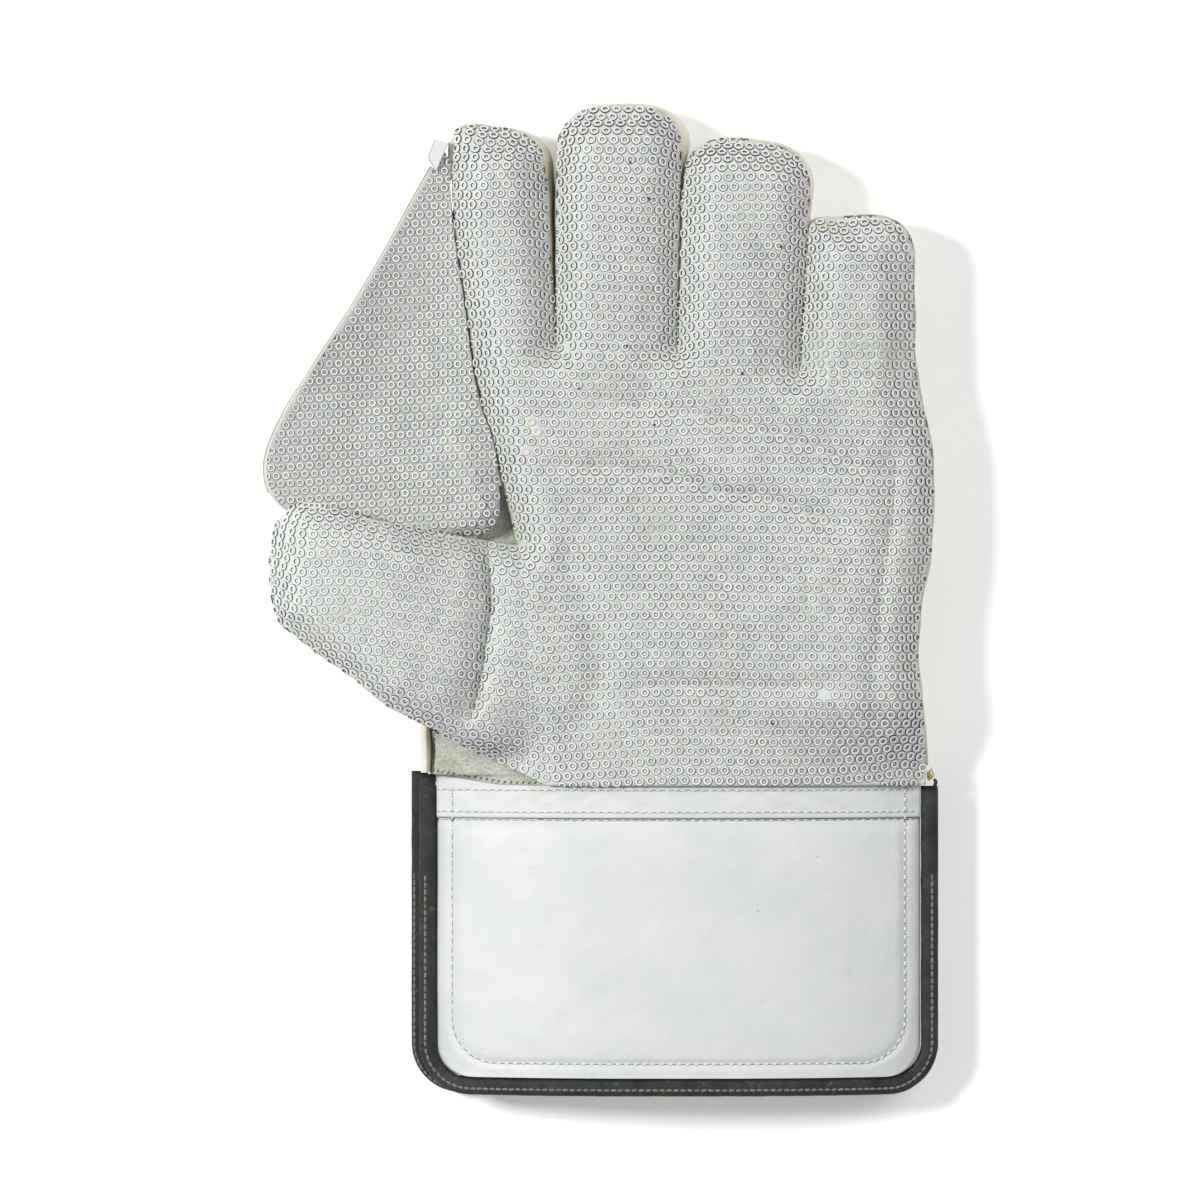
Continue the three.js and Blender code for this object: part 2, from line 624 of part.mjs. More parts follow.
const thumbBack = gridSheet(6, 8, (up, share) => [...thumbBackPlan(1 - share, up), 1 - share, up]);
const thumbBackTop = thumbBack.sheet.points.map(([x, y, out]) =>
  [x, y, thumbBackHeight(out) + THUMB_PAD]);
const thumbBackLow = thumbBack.sheet.points.map(([x, y, out, up]) => {
  const inFromRim = Math.min(up, 1 - up, 1 - out);
  const rim = Math.max(1 - inFromRim / THUMB_BACK_RIM, 0);
  return [x, y, thumbBackHeight(out) + THUMB_PAD * 0.45 * rim];
});
add("thumb_back", between(thumbBack.sheet, thumbBackTop, thumbBackLow), "leather");

// Thumb wall: round the thumb from its crotch to where the wrist gusset begins
const thumbStations = [];
for (let c = THUMB_COLUMNS; c > 0; c -= 1) {
  const below = c === THUMB_COLUMNS ? c - 1 : c;
  thumbStations.push({
    rim: face.thumb[THUMB_ROWS][c], inner: face.thumb[THUMB_ROWS - 1][below],
    inset: lerp(WALL_INSET, THUMB_OVERHANG, smooth((THUMB_COLUMNS - c) / 2)),
    out: 1 - c / THUMB_COLUMNS, up: 1,
  });
}
for (let r = THUMB_ROWS; r >= 0; r -= 1) {
  const corner = r === THUMB_ROWS ? r - 1 : Math.max(r, 1);
  thumbStations.push({
    rim: face.thumb[r][0], inner: face.thumb[corner][1], out: 1, up: r / THUMB_ROWS,
    inset: lerp(WALL_INSET, THUMB_OVERHANG, smooth((r - THUMB_ROWS + 3) / 3)),
    drop: TIP_GAP,
  });
}
const GUSSET_COLUMN = Math.round(THUMB_COLUMNS * (1 - THUMB_BACK.rootLow));
for (let c = 1; c <= GUSSET_COLUMN; c += 1) {
  const out = 1 - c / THUMB_COLUMNS;
  thumbStations.push({ rim: face.thumb[0][c], inner: face.thumb[1][c], inset: WALL_INSET, out, up: 0 });
}

wall("thumb_wall", thumbStations, ({ out, up }) => {
  const root = lerp(THUMB_BACK.rootLow, THUMB_BACK.rootTop, up);
  const span = THUMB_BACK.tip - root;
  const backOut = clamp((out - root) / span, 0.03, 0.97);
  const place = (margin) => {
    const u = clamp(up, margin, 1 - margin);
    const o = clamp(backOut, 0.03, 1 - margin * 0.6);
    return [...thumbBackPlan(o, u), thumbBackHeight(o) + THUMB_PAD + SEAM_GAP];
  };
  return [place(0.02), place(0.05)];
});

// Catching web between index finger and thumb
function webPlan(up, share) {
  const right = read(WEB_ROWS, "up", "right", up);
  const cover = read(WEB_ROWS, "up", "cover", up) * PALM_WIDTH;
  const rightX = indexEdge(right) + cover;
  const rightY = handY(right);
  const leftX = indexEdge(right) - read(WEB_ROWS, "up", "reach", up) * THUMB_LENGTH;
  const leftY = handY(read(WEB_ROWS, "up", "left", up));
  const hold = (1 - up) ** 8;
  const out = lerp(0.91, 0.2, share);
  const tuck = thumbEdge(out, "top");
  const start = [lerp(leftX, rightX, share), lerp(leftY, rightY, share)];
  const goal = [tuck[0], tuck[1] - WEB_TUCK];
  return mix(start, goal, hold);
}

// X of the face's edge towards the thumb, from the thumb crotch to the index tip
function indexEdge(along) {
  const base = CROTCHES[0].along;
  if (along <= base) return handX(read(PALM_EDGES, "along", "inner", along));
  const finger = FINGERS[0];
  const up = (along - base) / (finger.shoulder - base);
  const root = palmPoint(PALM_ROWS, CROTCHES[0].across);
  return fingerPoint(finger, root, clamp(up), 0)[0];
}

function webHeight(up, share, plan) {
  const right = read(WEB_ROWS, "up", "right", up);
  const rim = faceHeight([indexEdge(right) + 0.3, handY(right)]);
  const rise = HAND_HEIGHT * read(WEB_ROWS, "up", "rise", up);
  const left = HAND_HEIGHT * read(WEB_ROWS, "up", "leftHeight", up);
  const sag = WEB_SAG * 4 * share * (1 - share) * smooth(up / 0.3) * smooth((1 - up) / 0.5);
  const free = lerp(left, rim + rise, Math.max(0, share) ** 1.3) - sag;
  const underThumb = faceHeight(plan) - RUBBER - SEAM_GAP - WEB_DROP;
  return lerp(free, Math.min(free, underThumb), (1 - up) ** 3);
}

function webSurface(up, share) {
  const plan = webPlan(up, share);
  return [...plan, webHeight(up, share, plan)];
}

const web = gridSheet(WEB_ROW_COUNT, WEB_COLUMNS, webSurface);
add("web_face", sheetSolid(web.sheet, web.sheet.points, RUBBER), "rubber");

// The leather behind it stops short of the palm and shows past the rubber's outer edge
const BACKING_TOP = 0.96;
const BACKING_DIP = 1.2; // below the rim of the palm, at the web's inner edge
const webBacking = gridSheet(WEB_ROW_COUNT, WEB_COLUMNS, (row, share) => {
  const up = row * BACKING_TOP;
  const width = webPlan(up, 1)[0] - webPlan(up, 0)[0];
  const cover = Math.max(0, read(WEB_ROWS, "up", "cover", up) * PALM_WIDTH);
  const [x, y, z] = webSurface(up, lerp(-EDGING / width, 1 - (cover + GAP) / width, share));
  return [x, y, z - BACKING_DIP * smooth((share - 0.75) / 0.25)];
});
const backingTop = underside(webBacking.sheet, webBacking.sheet.points, RUBBER + 2.2 * GAP);
add("web_backing", sheetSolid(webBacking.sheet, backingTop, LEATHER), "white");

// White tab over the top end of the web's outer edge, beside the index finger
const TAB = { from: 0.955, start: 1.2, narrow: 0.8, wide: 4.4, rise: 3 };
const tab = gridSheet(3, 1, (up, share) => {
  const [x, y, z] = webSurface(lerp(TAB.from, 1, up), 0);
  const width = lerp(TAB.narrow, TAB.wide, smooth(up * 2));
  const lean = (1 - share) * up;
  return [x + TAB.start - (1 - share) * width, y + TAB.rise * up + lean, z + LEATHER + SEAM_GAP];
});
add("web_tab", sheetSolid(tab.sheet, tab.sheet.points, LEATHER), "white");

// Suede triangle behind the web's free corner, between palm and thumb
const CROTCH_GUSSET_HEIGHT = 0.585; // share of HAND_HEIGHT
const crotchGusset = gridSheet(4, 4, (up, share) => {
  const along = lerp(alongHand(THUMB_CROTCH[1]) + 0.012, 0.44, up);
  const right = [handX(read(PALM_EDGES, "along", "inner", along)) + 0.5, handY(along)];
  const thumbSide = thumbEdge(lerp(0.22, 0.06, share), "top");
  const foot = [lerp(thumbSide[0], right[0], share ** 3), thumbSide[1] - 1.2];
  const top = [right[0] - (1 - share) * 4, right[1]];
  return [...mix(foot, top, up), HAND_HEIGHT * CROTCH_GUSSET_HEIGHT];
});
add("crotch_gusset", sheetSolid(crotchGusset.sheet, crotchGusset.sheet.points, LEATHER), "suede");

// Suede side of the wrist: from the rim of the back up and over to the rubber's lower edge
const wristTop = [];
for (let c = GUSSET_COLUMN + 1; c <= THUMB_COLUMNS; c += 1) {
  wristTop.push({
    rim: face.thumb[0][c], inner: face.thumb[c === THUMB_COLUMNS ? 1 : 2][c], inset: WALL_INSET,
  });
}
const wristRows = wristTop.length - 1;
const WRIST_ROLL = { low: 11, high: 3 }; // how far it rolls out past the back, at both ends
const wristGusset = gridSheet(wristRows, 7, (up, share) => {
  const top = underRim(wristTop[Math.round((1 - up) * wristRows)], 0);
  const alongRim = lerp((BAND_TUCK + 2 * GAP) / HAND_LENGTH, 0.1, up);
  const y = handY(alongRim);
  const low = [handX(read(BACK_INNER, "along", "inner", alongRim)) + 2, y, BACK_PAD + SEAM_GAP];
  const end = [top[0], Math.max(top[1], y), top[2] - 1.3];
  const roll = lerp(WRIST_ROLL.low, WRIST_ROLL.high, up);
  const shoulder = [low[0] - roll, low[1], lerp(low[2], end[2], 0.95)];
  const over = [lerp(low[0], end[0], 0.4), lerp(low[1], end[1], 0.5), end[2] - 1.5];
  const lower = mix(mix(low, shoulder, share), mix(shoulder, over, share), share);
  const upper = mix(mix(shoulder, over, share), mix(over, end, share), share);
  return mix(lower, upper, share);
});
add("wrist_gusset", sheetSolid(wristGusset.sheet, wristGusset.sheet.points, LEATHER), "suede");

// Cuff panels: plan outline inside the binding, with rounded lower corners
function cuffPlan(down, share, left, right, top) {
  const bottom = SEAM_Y - CUFF_LENGTH + BINDING_WIDTH + GAP;
  const y = lerp(top, bottom, down);
  const radius = CUFF_CORNER - BINDING_WIDTH;
  const into = clamp(radius - (y - bottom), 0, radius);
  const corner = radius - Math.sqrt(radius ** 2 - into ** 2);
  const inset = BINDING_WIDTH + GAP + corner;
  return [lerp(left + inset, right - inset, share), y];
}

// Rows of a panel lie closer together towards its rounded corners
const panelRow = (t) => 1 - (1 - t) ** 1.6;

const cuffFront = gridSheet(10, 14, (up, share) => {
  const down = panelRow(1 - up);
  const [x, y] = cuffPlan(down, share, CUFF_LEFT, CUFF_RIGHT, SEAM_Y - BAND_LENGTH - GAP);
  return [x, y, down, share];
});
const PUFF_RIM = 0.2; // share of the panel over which its padding thins out
const fill = (share) => smooth(share / PUFF_RIM) * smooth((1 - share) / PUFF_RIM);
const puff = (down, share) => fill(down) * fill(share);
const cuffFrontTop = cuffFront.sheet.points.map(([x, y, down, share]) =>
  [x, y, cuffFrontHeight(x) - CUFF_RIM_DIP * (1 - puff(down, share))]);
const cuffFrontLow = cuffFront.sheet.points.map(([x, y, down, share]) =>
  [x, y, cuffFrontHeight(x) - CUFF_RIM_DIP - lerp(CUFF_RIM, CUFF_PAD, puff(down, share))]);
add("cuff_front", between(cuffFront.sheet, cuffFrontTop, cuffFrontLow), "white");

const cuffBand = gridSheet(2, 14, (up, share) => {
  const y = lerp(SEAM_Y - BAND_LENGTH, SEAM_Y + BAND_TUCK, up);
  const inset = BINDING_WIDTH + GAP;
  const x = lerp(CUFF_LEFT + inset, CUFF_RIGHT - inset, share);
  return [x, y, cuffFrontHeight(x)];
});
const cuffBandLow = cuffBand.sheet.points.map(([x, y, z]) => [x, y, z - BAND_THICKNESS]);
add("cuff_band", between(cuffBand.sheet, cuffBand.sheet.points, cuffBandLow), "white");

const cuffBack = gridSheet(10, 14, (up, share) => {
  const [x, y] = cuffPlan(panelRow(1 - up), share, CUFF_LEFT - CUFF_PEEK, CUFF_RIGHT, SEAM_Y - GAP);
  return [x, y, cuffBackHeight(x)];
});
const cuffBackTop = cuffBack.sheet.points.map(([x, y, z]) => [x, y, z + CUFF_BACK_PAD]);
add("cuff_back", between(cuffBack.sheet, cuffBackTop, cuffBack.sheet.points), "white");

// Bindings run down one side, round the lower edge and up the other side of a panel.
// Their section is given outwards and upwards, as shares of half the width and thickness.
const BINDING_SECTION = [
  [-1, -0.6], [-1, 0.6], [-0.6, 1], [0.7, 1], [1, 0.45], [1, -0.45], [0.7, -1], [-0.6, -1],
];

function binding(name, left, right, topLeft, topRight, middleHeight) {
  const half = BINDING_WIDTH / 2;
  const bottom = SEAM_Y - CUFF_LENGTH + half;
  const radius = CUFF_CORNER - half;
  const sideSteps = 6;
  const cornerSteps = 5;
  const bottomSteps = 12;
  const side = (edge, inwards, top) => {
    const path = [];
    for (let i = 0; i <= sideSteps; i += 1) {
      path.push([edge + inwards * half, lerp(top, bottom + radius, i / sideSteps), -inwards, 0]);
    }
    for (let i = 1; i <= cornerSteps; i += 1) {
      const a = (i / cornerSteps) * (Math.PI / 2);
      const x = edge + inwards * (half + radius * (1 - Math.cos(a)));
      path.push([x, bottom + radius * (1 - Math.sin(a)), -inwards * Math.cos(a), -Math.sin(a)]);
    }
    return path;
  };
  const around = side(left, 1, topLeft);
  for (let i = 1; i < bottomSteps; i += 1) {
    const x = lerp(left + half + radius, right - half - radius, i / bottomSteps);
    around.push([x, bottom, 0, -1]);
  }
  around.push(...side(right, -1, topRight).reverse());
  const rings = around.map(([x, y, nx, ny]) => BINDING_SECTION.map(([out, up]) => {
    const px = x + nx * out * half;
    const py = y + ny * out * half;
    const z = middleHeight(x) + (up * BINDING_THICKNESS) / 2;
    return [px, py, z];
  }));
  add(name, loft(rings), "binding");
}

// Heights of the middle of each binding, which meet just apart at the sides of the cuff
const apart = (BINDING_THICKNESS + GAP) / 2;

function frontMiddle(x) {
  return Math.max(CUFF_SEAM_HEIGHT + apart, cuffFrontHeight(x) - CUFF_RIM_DIP - CUFF_RIM / 2);
}

function backMiddle(x) {
  return clamp(cuffBackHeight(x) + CUFF_RIM / 2, BINDING_THICKNESS / 2, CUFF_SEAM_HEIGHT - apart);
}

// How far the bindings reach past the seam on the thumb's side and on the outer side
const FRONT_ENDS = { left: 3.5, right: -1.5 };
const BACK_ENDS = { left: 4.5, right: -0.5 };
binding("binding_front", CUFF_LEFT, CUFF_RIGHT,
  SEAM_Y + FRONT_ENDS.left, SEAM_Y + FRONT_ENDS.right, frontMiddle);
binding("binding_back", CUFF_LEFT - CUFF_PEEK, CUFF_RIGHT,
  SEAM_Y + BACK_ENDS.left, SEAM_Y + BACK_ENDS.right, backMiddle);

// The origin is the middle of the footprint, on the resting surface
const box = new THREE.Box3().setFromObject(glove);
const middle = box.getCenter(new THREE.Vector3());
glove.position.set(-middle.x, -middle.y, -box.min.z);
glove.updateMatrixWorld(true);

export default glove;
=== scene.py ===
import math

import bpy
import numpy as np
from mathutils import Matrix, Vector
from mathutils.bvhtree import BVHTree


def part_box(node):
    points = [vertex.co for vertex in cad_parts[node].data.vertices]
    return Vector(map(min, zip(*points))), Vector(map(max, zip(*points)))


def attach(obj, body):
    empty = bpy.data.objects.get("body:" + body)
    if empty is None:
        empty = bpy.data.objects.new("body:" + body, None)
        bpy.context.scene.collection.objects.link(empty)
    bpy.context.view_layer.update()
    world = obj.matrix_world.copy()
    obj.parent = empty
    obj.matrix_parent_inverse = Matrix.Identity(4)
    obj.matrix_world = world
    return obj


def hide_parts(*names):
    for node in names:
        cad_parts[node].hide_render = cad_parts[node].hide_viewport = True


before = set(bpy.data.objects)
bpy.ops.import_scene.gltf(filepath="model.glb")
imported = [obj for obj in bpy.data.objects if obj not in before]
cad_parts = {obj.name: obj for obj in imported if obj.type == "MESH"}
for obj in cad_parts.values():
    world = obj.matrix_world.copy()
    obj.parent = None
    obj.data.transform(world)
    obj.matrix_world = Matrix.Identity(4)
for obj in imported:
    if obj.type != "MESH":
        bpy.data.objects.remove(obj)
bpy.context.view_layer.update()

# A wicketkeeping glove for the left hand, palm up. All shapes are worked out in millimetres,
# with the same named sizes and tables as the solids, and turned into metres in one place.
MM = 0.001
HAND_LENGTH = 226  # from the cuff's seam to the middle fingertip
PALM_WIDTH = 138
THUMB_LENGTH = 82
THUMB_WIDTH = 62
CUFF_LENGTH = 103
CUFF_FLARE = 35  # the cuff is this much wider than the palm
HAND_HEIGHT = 38
THUMB_LIFT = 10
CUFF_HEIGHT = 36
CUFF_SEAM_HEIGHT = 14
EDGE_DROP = 8  # the rubber falls this far towards its rim
EDGE_ROUND = 13  # over this width
RUBBER = 1.8
LEATHER = 1.3
BACK_PAD = 7
THUMB_PAD = 5
CUFF_PAD = 8
CUFF_BACK_PAD = 4.2
CUFF_RIM = 3  # thickness of the padded panel at its edge
BAND_LENGTH = 9.6
BAND_THICKNESS = 2.6
BAND_TUCK = 3  # the band reaches this far under the rubber
BINDING_WIDTH = 5.6
BINDING_THICKNESS = 4
CUFF_CORNER = 17
WALL_INSET = 1.7  # walls stand this far in from the rubber's rim
THUMB_OVERHANG = 5  # the same along the upper side of the thumb
WEB_TUCK = 2.2  # the web reaches this far under the thumb
WEB_SAG = 3
WEB_DROP = 1.5  # and lies this much lower there
EDGING = 1  # the layer behind the web shows this far
BACK_SHIFT = 4  # most that a finger's back stands out beside its face
CUFF_PEEK = 2.6  # the cuff's back stands out this far on the left
GAP = 0.3  # between neighbouring pieces
SEAM_GAP = 0.4  # between pieces that lie on each other
TIP_GAP = 0.7  # added to it at the tips
RIM_DIP = 0.8  # the padded panel is this much lower at its edge
SIDE_STEP = 2  # the hand ends this far inside the cuff on the right

SEAM_Y = (CUFF_LENGTH - HAND_LENGTH) / 2
CUFF_RIGHT = 112.7
CUFF_LEFT = CUFF_RIGHT - PALM_WIDTH - CUFF_FLARE
HAND_RIGHT = CUFF_RIGHT - SIDE_STEP

# The solids were moved sideways to centre them, so everything here moves with them
cuff_low, cuff_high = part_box("cuff_front")
SHIFT_X = (cuff_low[0] + cuff_high[0]) / 2 / MM - (CUFF_LEFT + CUFF_RIGHT) / 2

# Plan of the glove: shares of the palm's width across, of the hand's length along and of the
# thumb's length out
PALM_EDGES = {
    "along": (0, 0.07, 0.133, 0.19, 0.24, 0.293, 0.346, 0.42, 0.492, 0.549, 0.6, 0.66),
    "inner": (0.07, 0.054, 0.041, 0.03, 0.02, 0.011, 0.002, -0.024, -0.056, -0.08, -0.098, -0.114),
    "outer": (0.984, 0.98, 0.968, 0.96, 0.964, 0.975, 0.992, 0.997, 0.994, 0.976, 0.958, 0.951),
}
CROTCHES = {
    "across": (-0.112, 0.091, 0.3825, 0.674, 0.952),
    "along": (0.649, 0.649, 0.646, 0.616, 0.64),
}
FINGERS = (
    {"name": "index", "left": -0.157, "right": 0.064, "shoulder": 0.905, "tip": 0.966, "lean": -0.012,
     "left_square": 6, "right_square": 2.4, "bow": -0.014, "shift_from": 0.7, "shift": 0.72,
     "columns": 4, "rows": 10},
    {"name": "middle", "left": 0.096, "right": 0.391, "shoulder": 0.93, "tip": 1.0, "lean": 0,
     "left_square": 2.5, "right_square": 2.7, "bow": 0, "shift_from": 0.86, "shift": 1,
     "columns": 5, "rows": 12},
    {"name": "ring", "left": 0.399, "right": 0.702, "shoulder": 0.872, "tip": 0.949, "lean": -0.018,
     "left_square": 2.6, "right_square": 2.6, "bow": 0, "shift_from": 0.83, "shift": 0.8,
     "columns": 5, "rows": 11},
    {"name": "little", "left": 0.696, "right": 0.95, "shoulder": 0.778, "tip": 0.836, "lean": 0.01,
     "left_square": 7, "right_square": 2.4, "bow": 0, "shift_from": 0.8, "shift": 0,
     "columns": 5, "rows": 7},
)
SHIFT_RANGE = 0.12
THUMB_EDGES = {
    "out": (0, 0.15, 0.3, 0.45, 0.6, 0.75, 0.88, 1),
    "top_reach": (0, 0.15, 0.3, 0.457, 0.611, 0.761, 0.887, 0.972),
    "low_reach": (-0.113, 0.053, 0.231, 0.381, 0.534, 0.684, 0.818, 0.962),
    "top": (0, 0.027, 0.062, 0.102, 0.147, 0.2, 0.214, 0.125),
    "low": (-1.278, -1.171, -1.064, -0.957, -0.85, -0.69, -0.57, -0.42),
}
THUMB_TOP = 0.43  # the thumb's sheet lies below this share of the hand's length
THUMB_TIP_BULGE = 0.035
THUMB_COLUMNS = 12
PALM_ROWS = 22
THUMB_ROWS = 12
# Side views of the palm and the thumb
PALM_SIDE = {"along": (0, 0.14, 0.38, 0.62, 0.84, 1), "height": (0.98, 1, 0.93, 0.92, 0.91, 0.82)}
THUMB_SIDE = {"along": (0, 0.25, 0.55, 0.8, 1), "lift": (0, 0.45, 1, 0.95, 0.55)}

# Courses of the rubber's creases, as shares across and along
COURSES = {
    "thumb_root": ((-0.07, 0.346), (-0.065, 0.268), (-0.086, 0.17), (-0.122, 0.107)),
    "thumb_root_bottom": ((-0.074, 0.35), (-0.065, 0.268), (-0.086, 0.17), (-0.115, 0.08)),
    "thumb_ball": ((0.127, 0.325), (0.189, 0.24), (0.197, 0.168), (0.161, 0.081)),
    "palm_high": ((0.209, 0.56), (0.429, 0.545), (0.655, 0.51), (0.859, 0.453)),
    "palm_middle": ((0.103, 0.467), (0.336, 0.46), (0.48, 0.432), (0.626, 0.418), (0.772, 0.378)),
    "palm_centre": ((0.324, 0.36), (0.451, 0.328), (0.499, 0.303)),
    "wrist_high": ((0.3, 0.147), (0.743, 0.147)),
    "wrist_low": ((0.36, 0.076), (0.8, 0.076)),
    "outer_side": ((0.787, 0.813), (0.894, 0.79), (0.916, 0.712), (0.909, 0.488), (0.902, 0.396),
                   (0.875, 0.283), (0.863, 0.168), (0.87, 0.097)),
    "outer_side_bottom": ((0.909, 0.488), (0.902, 0.396), (0.875, 0.283), (0.863, 0.168)),
    "middle_left": ((0.307, 0.822), (0.314, 0.58)),
    "middle_right": ((0.609, 0.81), (0.602, 0.601)),
    "index_tip": ((-0.132, 0.936), (0.007, 0.936)),
    "middle_tip": ((0.163, 0.979), (0.355, 0.979)),
    "ring_tip": ((0.475, 0.945), (0.595, 0.9275), (0.655, 0.916)),
    "heel_left": ((0.434, 0.337), (0.511, 0.284), (0.554, 0.247), (0.571, 0.202)),
    "heel_middle": ((0.6, 0.337), (0.634, 0.316), (0.691, 0.3), (0.703, 0.264), (0.672, 0.238)),
    "heel_right": ((0.78, 0.29), (0.763, 0.258), (0.746, 0.232)),
}
# Wide folds: depth and half width in mm
FOLDS = (
    (2.6, 5, "thumb_root"), (1.8, 6, "thumb_ball"), (0.8, 4.5, "palm_high"), (1.1, 4.5, "palm_middle"),
    (0.6, 4, "palm_centre"), (0.6, 4, "wrist_high"), (0.6, 4, "wrist_low"), (1.5, 4.5, "outer_side"),
    (0.9, 4, "middle_left"), (0.9, 4, "middle_right"), (1.1, 3.5, "index_tip"),
    (1.1, 3.5, "middle_tip"), (1.1, 3.5, "ring_tip"),
)
# Sharper creases, most of them in the bottoms of those folds
CREASES = (
    (0.7, 1.4, "palm_middle"), (0.5, 1.4, "palm_high"), (2.4, 1.1, "thumb_root_bottom"),
    (0.45, 1.3, "wrist_high"), (0.45, 1.3, "wrist_low"), (0.7, 1.3, "outer_side_bottom"),
    (0.5, 1.6, "heel_left"), (0.5, 1.6, "heel_middle"), (0.45, 1.6, "heel_right"),
    (0.4, 1.2, "index_tip"), (0.4, 1.2, "middle_tip"), (0.4, 1.2, "ring_tip"),
)
CREASE_TAPER = 8  # how far from its ends a sharp crease fades in
WEB_ROWS = {
    "up": (0, 0.06, 0.12, 0.2, 0.3, 0.42, 0.6, 0.8, 1),
    "right": (0.362, 0.378, 0.409, 0.463, 0.513, 0.57, 0.661, 0.78, 0.915),
    "left": (0.4, 0.412, 0.441, 0.489, 0.551, 0.607, 0.686, 0.81, 0.93),
    "reach": (0.82, 0.93, 1.0, 0.965, 0.838, 0.69, 0.502, 0.25, 0.03),
    "cover": (-0.075, -0.042, 0.006, 0.012, 0.01, -0.005, -0.005, -0.005, -0.005),
    "left_height": (0.78, 0.74, 0.7, 0.67, 0.66, 0.66, 0.68, 0.7, 0.7),
    "rise": (0.06, 0.105, 0.137, 0.137, 0.117, 0.02, 0, 0, 0),
}
BACK_INNER = {
    "along": (0, 0.03, 0.09, 0.16, 0.24, 0.31, 0.36, 0.45, 0.55, 0.66),
    "inner": (-0.207, -0.209, -0.215, -0.185, -0.12, -0.062, -0.025, -0.045, -0.082, -0.115),
}
BACKING_TOP = 0.96  # the layer behind the web ends at this share of its height
BACKING_DIP = 1.2
TAB = {"from": 0.955, "start": 1.2, "narrow": 0.8, "wide": 4.4, "rise": 3}
CROTCH_GUSSET_HEIGHT = 0.585
WRIST_ROLL = {"low": 11, "high": 3}
THUMB_BACK = {"root_top": 0.1, "root_low": 0.42, "tip": 0.93, "low": 0.12, "top": 0.86}
FINE = 6  # points of the dressed rubber to each point of the solid
RIM_FINE = 4  # the same for the outline that distances are measured from
# Rows and columns of the other dressed surfaces
GRIDS = {
    "web_face": (120, 60), "web_backing": (90, 40), "web_tab": (20, 8),
    "crotch_gusset": (24, 24), "wrist_gusset": (40, 40), "gusset_lip": (8, 60),
    "back_hand": (48, 48), "finger_back": (40, 28), "thumb_back": (30, 40),
    "cuff_front": (52, 88), "cuff_band": (20, 180), "cuff_back": (36, 56),
}
EDGE_FROM_ROW = 12  # the web's raw edge is hidden under the thumb below this row
ROUNDING_SHIFT = 0.00013  # keeps equal points from rounding to different thousandths

# The rubber's rings
RING_PITCH = 3.7
RING_ROW = 3.25
RING_SIDES = 11
RING_PROFILE = ((1.78, -0.35), (1.5, 0.48), (1.42, 0.6), (0.84, 0.58), (0.77, 0.46), (0.44, -0.3))
RING_CENTRE = -0.05
WEB_RING_SCALE, WEB_RING_HEIGHT, THUMB_RING_HEIGHT = 0.86, 0.9, 0.8
RING_SHADE_STRIPS = (0, 4)  # the outer wall and the wall of the pit, painted dark as shade
RIM_OVERHANG = 0.25
RIM_REACH = 0.6  # rings this far outside the rim are still begun, and cut off by it
LATTICE_COLUMNS, LATTICE_ROWS = (-40, 42), (-22, 68)
LATTICE_SWAY = (1.1, 1.7)  # how far rows and columns wander, in millimetres
LATTICE_STEPS = 40  # rounds in which places are found that lie the wanted lengths apart
THUMB_ROW_TILT, WEB_ROW_TILT = 0.12, 0.06
WEB_COLUMNS, WEB_LATTICE_ROWS = (-2, 35), (-5, 50)
SEED = 7
random = np.random.default_rng(SEED)


# Small helpers, all of them for arrays
def lerp(a, b, t):
    return a + (b - a) * t


def smooth(t):
    t = np.clip(t, 0, 1)
    return t * t * (3 - 2 * t)


def hand_x(across):
    return HAND_RIGHT + (across - 1) * PALM_WIDTH


def hand_y(along):
    return SEAM_Y + along * HAND_LENGTH


def along_hand(y):
    return (y - SEAM_Y) / HAND_LENGTH


def read(table, column, at, key="along"):
    """Reads a column of a table between its rows, as a smooth curve through them."""
    keys = np.array(table[key], float)
    values = np.array(table[column], float)
    place = np.clip(at, keys[0], keys[-1])
    i = np.clip(np.searchsorted(keys, place, side="right") - 1, 0, len(keys) - 2)
    order = np.arange(len(keys))
    before = np.maximum(order - 1, 0)
    after = np.minimum(order + 1, len(keys) - 1)
    slopes = (values[after] - values[before]) / (keys[after] - keys[before])
    step = keys[i + 1] - keys[i]
    t = (place - keys[i]) / step
    level = (2 * t**3 - 3 * t**2 + 1) * values[i] + (3 * t**2 - 2 * t**3) * values[i + 1]
    bend = (t**3 - 2 * t**2 + t) * slopes[i] + (t**3 - t**2) * slopes[i + 1]
    return level + step * bend


def unit(vectors):
    """Vectors brought to a length of one."""
    return vectors / np.maximum(np.linalg.norm(vectors, axis=-1, keepdims=True), 1e-9)


def ripple(x, y, length, seed):
    """Gentle irregular waves of about that wavelength, between -1 and 1."""
    waves = np.random.default_rng(seed)
    total = 0
    for _ in range(6):
        turn = waves.uniform(0, math.tau)
        size = length * waves.uniform(0.7, 1.5)
        phase = waves.uniform(0, math.tau)
        total = total + np.sin(math.tau * (x * math.cos(turn) + y * math.sin(turn)) / size + phase)
    return total / 6


def segment_distance(x, y, starts, ends):
    nearest = np.full(np.shape(x), 1e9)
    for (ax, ay), (bx, by) in zip(starts, ends):
        length = (bx - ax) ** 2 + (by - ay) ** 2
        t = np.clip(((x - ax) * (bx - ax) + (y - ay) * (by - ay)) / length, 0, 1)
        away = (x - ax - t * (bx - ax)) ** 2 + (y - ay - t * (by - ay)) ** 2
        nearest = np.minimum(nearest, away)
    return np.sqrt(nearest)


def course_distance(x, y, course):
    points = [(hand_x(across), hand_y(along)) for across, along in course]
    return segment_distance(x, y, points[:-1], points[1:])


